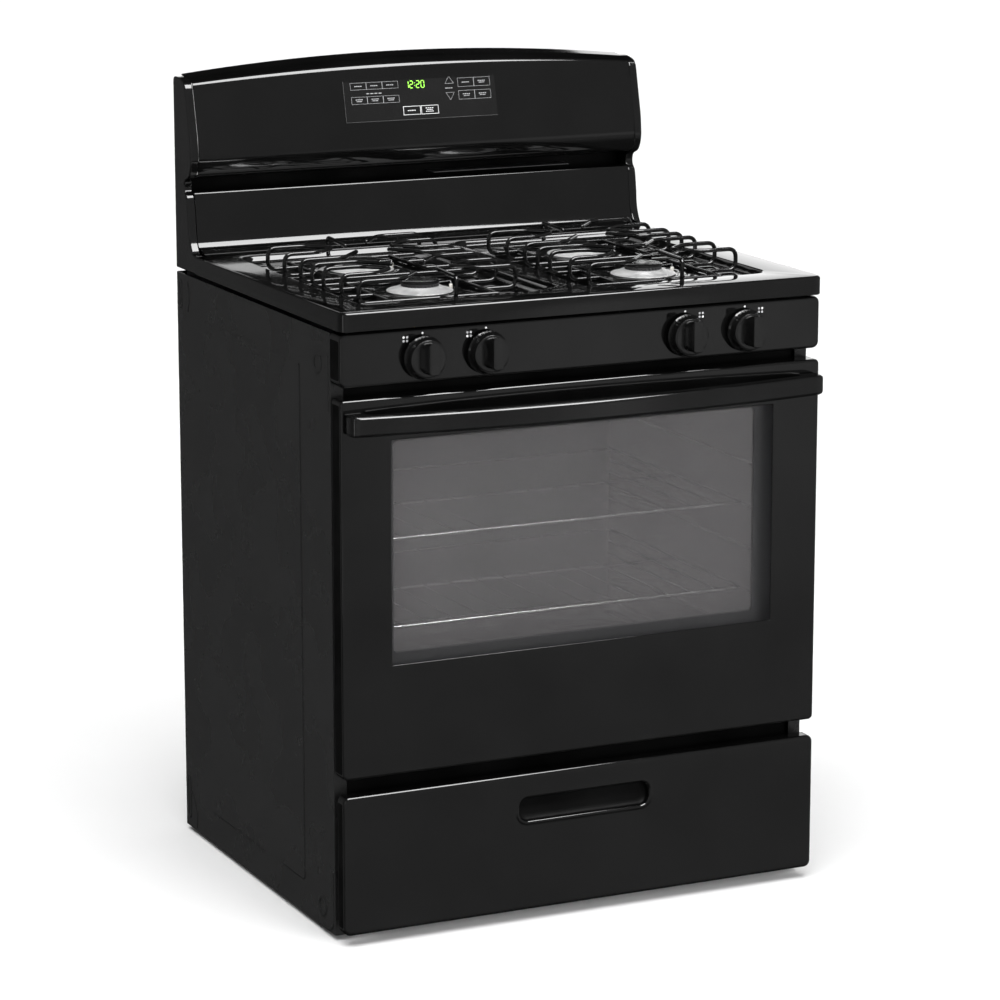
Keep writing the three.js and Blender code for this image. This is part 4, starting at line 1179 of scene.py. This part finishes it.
def add_drawer():
    half, bottom, top = DRAWER["half"], DRAWER["bottom"], DRAWER["top"]
    rear, edge, back = DRAWER_FRONT + 22, 5.0, DRAWER_FRONT + 18
    outer = pillow_rings(DRAWER, 10, DRAWER_FRONT, rear, edge)
    rim = [pull_ring(grow, 13 + grow, DRAWER_FRONT - out) for grow, out in PULL_RIM]
    pocket = pull_pocket()
    inside = [
        panel_ring(DRAWER, -SHEET, 8.8, rear),
        panel_ring(DRAWER, -SHEET, 8.8, DRAWER_FRONT + edge),
        panel_ring(DRAWER, -edge, 5, DRAWER_FRONT + SHEET),
        pull_ring(9, 22, DRAWER_FRONT + SHEET + 0.2),
        pull_ring(SHEET, 14, DRAWER_FRONT + 8),
        pull_ring(SHEET, 14, back - 5),
        pull_ring(-4, 9, back + SHEET),
    ]
    face = skin(inside[::-1] + outer + rim + pocket)
    piece("drawer_face", *face, DRAWER_BODY, "enamel", ["drawer_front"])
    flank("drawer_flanks", half, DRAWER_FRONT + 6, rear - 1, bottom + 10.5, top - 10.5, DRAWER_BODY)
    # The pocket's inside is covered in near-black: painted shade in the recess.
    behind, before = ([[(x, y - out, z) for x, y, z in ring] for ring in pocket] for out in (0.05, 0.35))
    piece("pull_pocket_shade", *skin(behind[::-1] + before), DRAWER_BODY, "vent_black")


add_drawer()


# ---------- back of the range ----------
REGULATOR = (-296, 92)
POWER_INLET = (290, 150)
REAR_SHEET = REAR - 1.15


def screw(x, z, radius=4.2):
    """A low round screw head on the rear sheet, and the two bars of its cross, drawn dark as painted shade of the
    cross recess.
    """
    profile = [(0, 0), (radius, 0), (radius, 0.25), (radius * 0.9, 0.65), (radius * 0.6, 0.95), (0, 1.05)]
    verts, faces = lathe(profile, 20)
    head = [(x + vx, REAR_SHEET + vz, z + vy) for vx, vy, vz in verts], faces
    long, thin = radius * 0.5, 0.45
    cross = [
        cuboid((x - a, x + a), (REAR_SHEET + 0.7, REAR_SHEET + 1.12), (z - b, z + b))
        for a, b in ((long, thin), (thin, long))
    ]
    return head, cross


def add_rear_panel():
    """The rear sheet with its pads, screws and two openings; the pads' tops are its rearmost plane."""
    wide, low, top = SIDE_HALF - 1.5, 24, 1024.6
    outline = [(-wide, low), (wide, low), (wide, SIDE_TOP), (GUARD_HALF, SIDE_TOP), (GUARD_HALF, top),
               (-GUARD_HALF, top), (-GUARD_HALF, SIDE_TOP), (-wide, SIDE_TOP)]
    verts, faces = prism(outline, REAR - 1.5, REAR_SHEET, lambda u, v, h: (u, h, v))
    plate = piece("rear_sheet", verts, faces, BODY, "galvanised", ["rear_panel"])
    gas_x, _ = REGULATOR
    inlet_x, inlet_z = POWER_INLET
    cut_out(plate, [
        cuboid((gas_x - 40, gas_x + 40), (REAR - 5, REAR + 5), (40, 144)),
        lathe([(0, 0), (11, 0), (11, 10), (0, 10)], 36, (inlet_x, REAR + 5, inlet_z), "y"),
    ])
    pads = [(x - 15, x + 15, 270, 700) for x in (-220, 0, 220)]
    pads += [(-330, 330, 752, 782), (-210, 210, 186, 216), (-300, 300, 925, 965)]
    slope = ((4, 0.02), (3.4, 0.12), (0.8, 1.0), (0, 1.1))
    pads = [raised_pad(*pad, 8, slope, lambda x, z, rise: (x, REAR_SHEET + rise, z)) for pad in pads]
    piece("rear_pads", *merged(*pads), BODY, "galvanised")
    spots = [(x, z) for x in (-360, -200, 0, 200, 360) for z in (40, 860) if (x, z) != (-360, 40)]
    spots += [(x, z) for x in (-366, 366) for z in (250, 450, 650)]
    spots += [(x, 1010) for x in (-340, -120, 120, 340)]
    heads, crosses = zip(*[screw(x, z) for x, z in spots])
    piece("rear_screws", *merged(*heads), BODY, "chrome")
    # The crosses are dark bars: painted shade of the screws' recesses.
    piece("rear_screw_cross_shade", *merged(*[bar for cross in crosses for bar in cross]), BODY, "dark_steel")


REGULATOR_BODY = [(0, 0), (20, 0), (23, 1.5), (24, 4), (24, 11), (22.8, 12), (22.8, 14), (24, 15), (24, 22),
                  (22, 25), (17, 26), (0, 26)]
REGULATOR_INLET = [(0, 0), (11, 0), (11, 29.8), (10.3, 30.6), (0, 30.6)]
REGULATOR_OUTLET = [(0, 0), (9, 0), (9, 3), (8.2, 3.8), (8.2, 58), (9, 59), (9, 62), (0, 62)]


def add_regulator():
    x, z = REGULATOR
    body = lathe(REGULATOR_BODY, 48, (x, 312, z), "y")
    inlet = lathe(REGULATOR_INLET, 6, (x, REAR - 3.2, z), "y")
    outlet = lathe(REGULATOR_OUTLET, 32, (x, 299, z))
    piece("regulator_body", *merged(body, inlet, outlet), BODY, "aluminium", ["gas_regulator"])


def add_power_inlet():
    """The strain relief that a power cord would pass: a collar with an open bore."""
    seat, flange, collar, bore = REAR - 1.6, 14, 10.4, 6
    section = [
        (flange, seat - 4), (flange, seat - 0.6), (13.4, seat), (collar, seat), (collar, REAR - 0.4), (9.9, REAR),
        (6.4, REAR), (bore, REAR - 0.4), (bore, seat - 16), (collar, seat - 16), (collar, seat - 4),
    ]
    rings = [upright(circle(*POWER_INLET, radius, 36), y) for radius, y in section]
    piece("strain_relief", *skin(rings, loop=True), BODY, "matte_plastic", ["power_inlet"])


add_rear_panel()
add_regulator()
add_power_inlet()
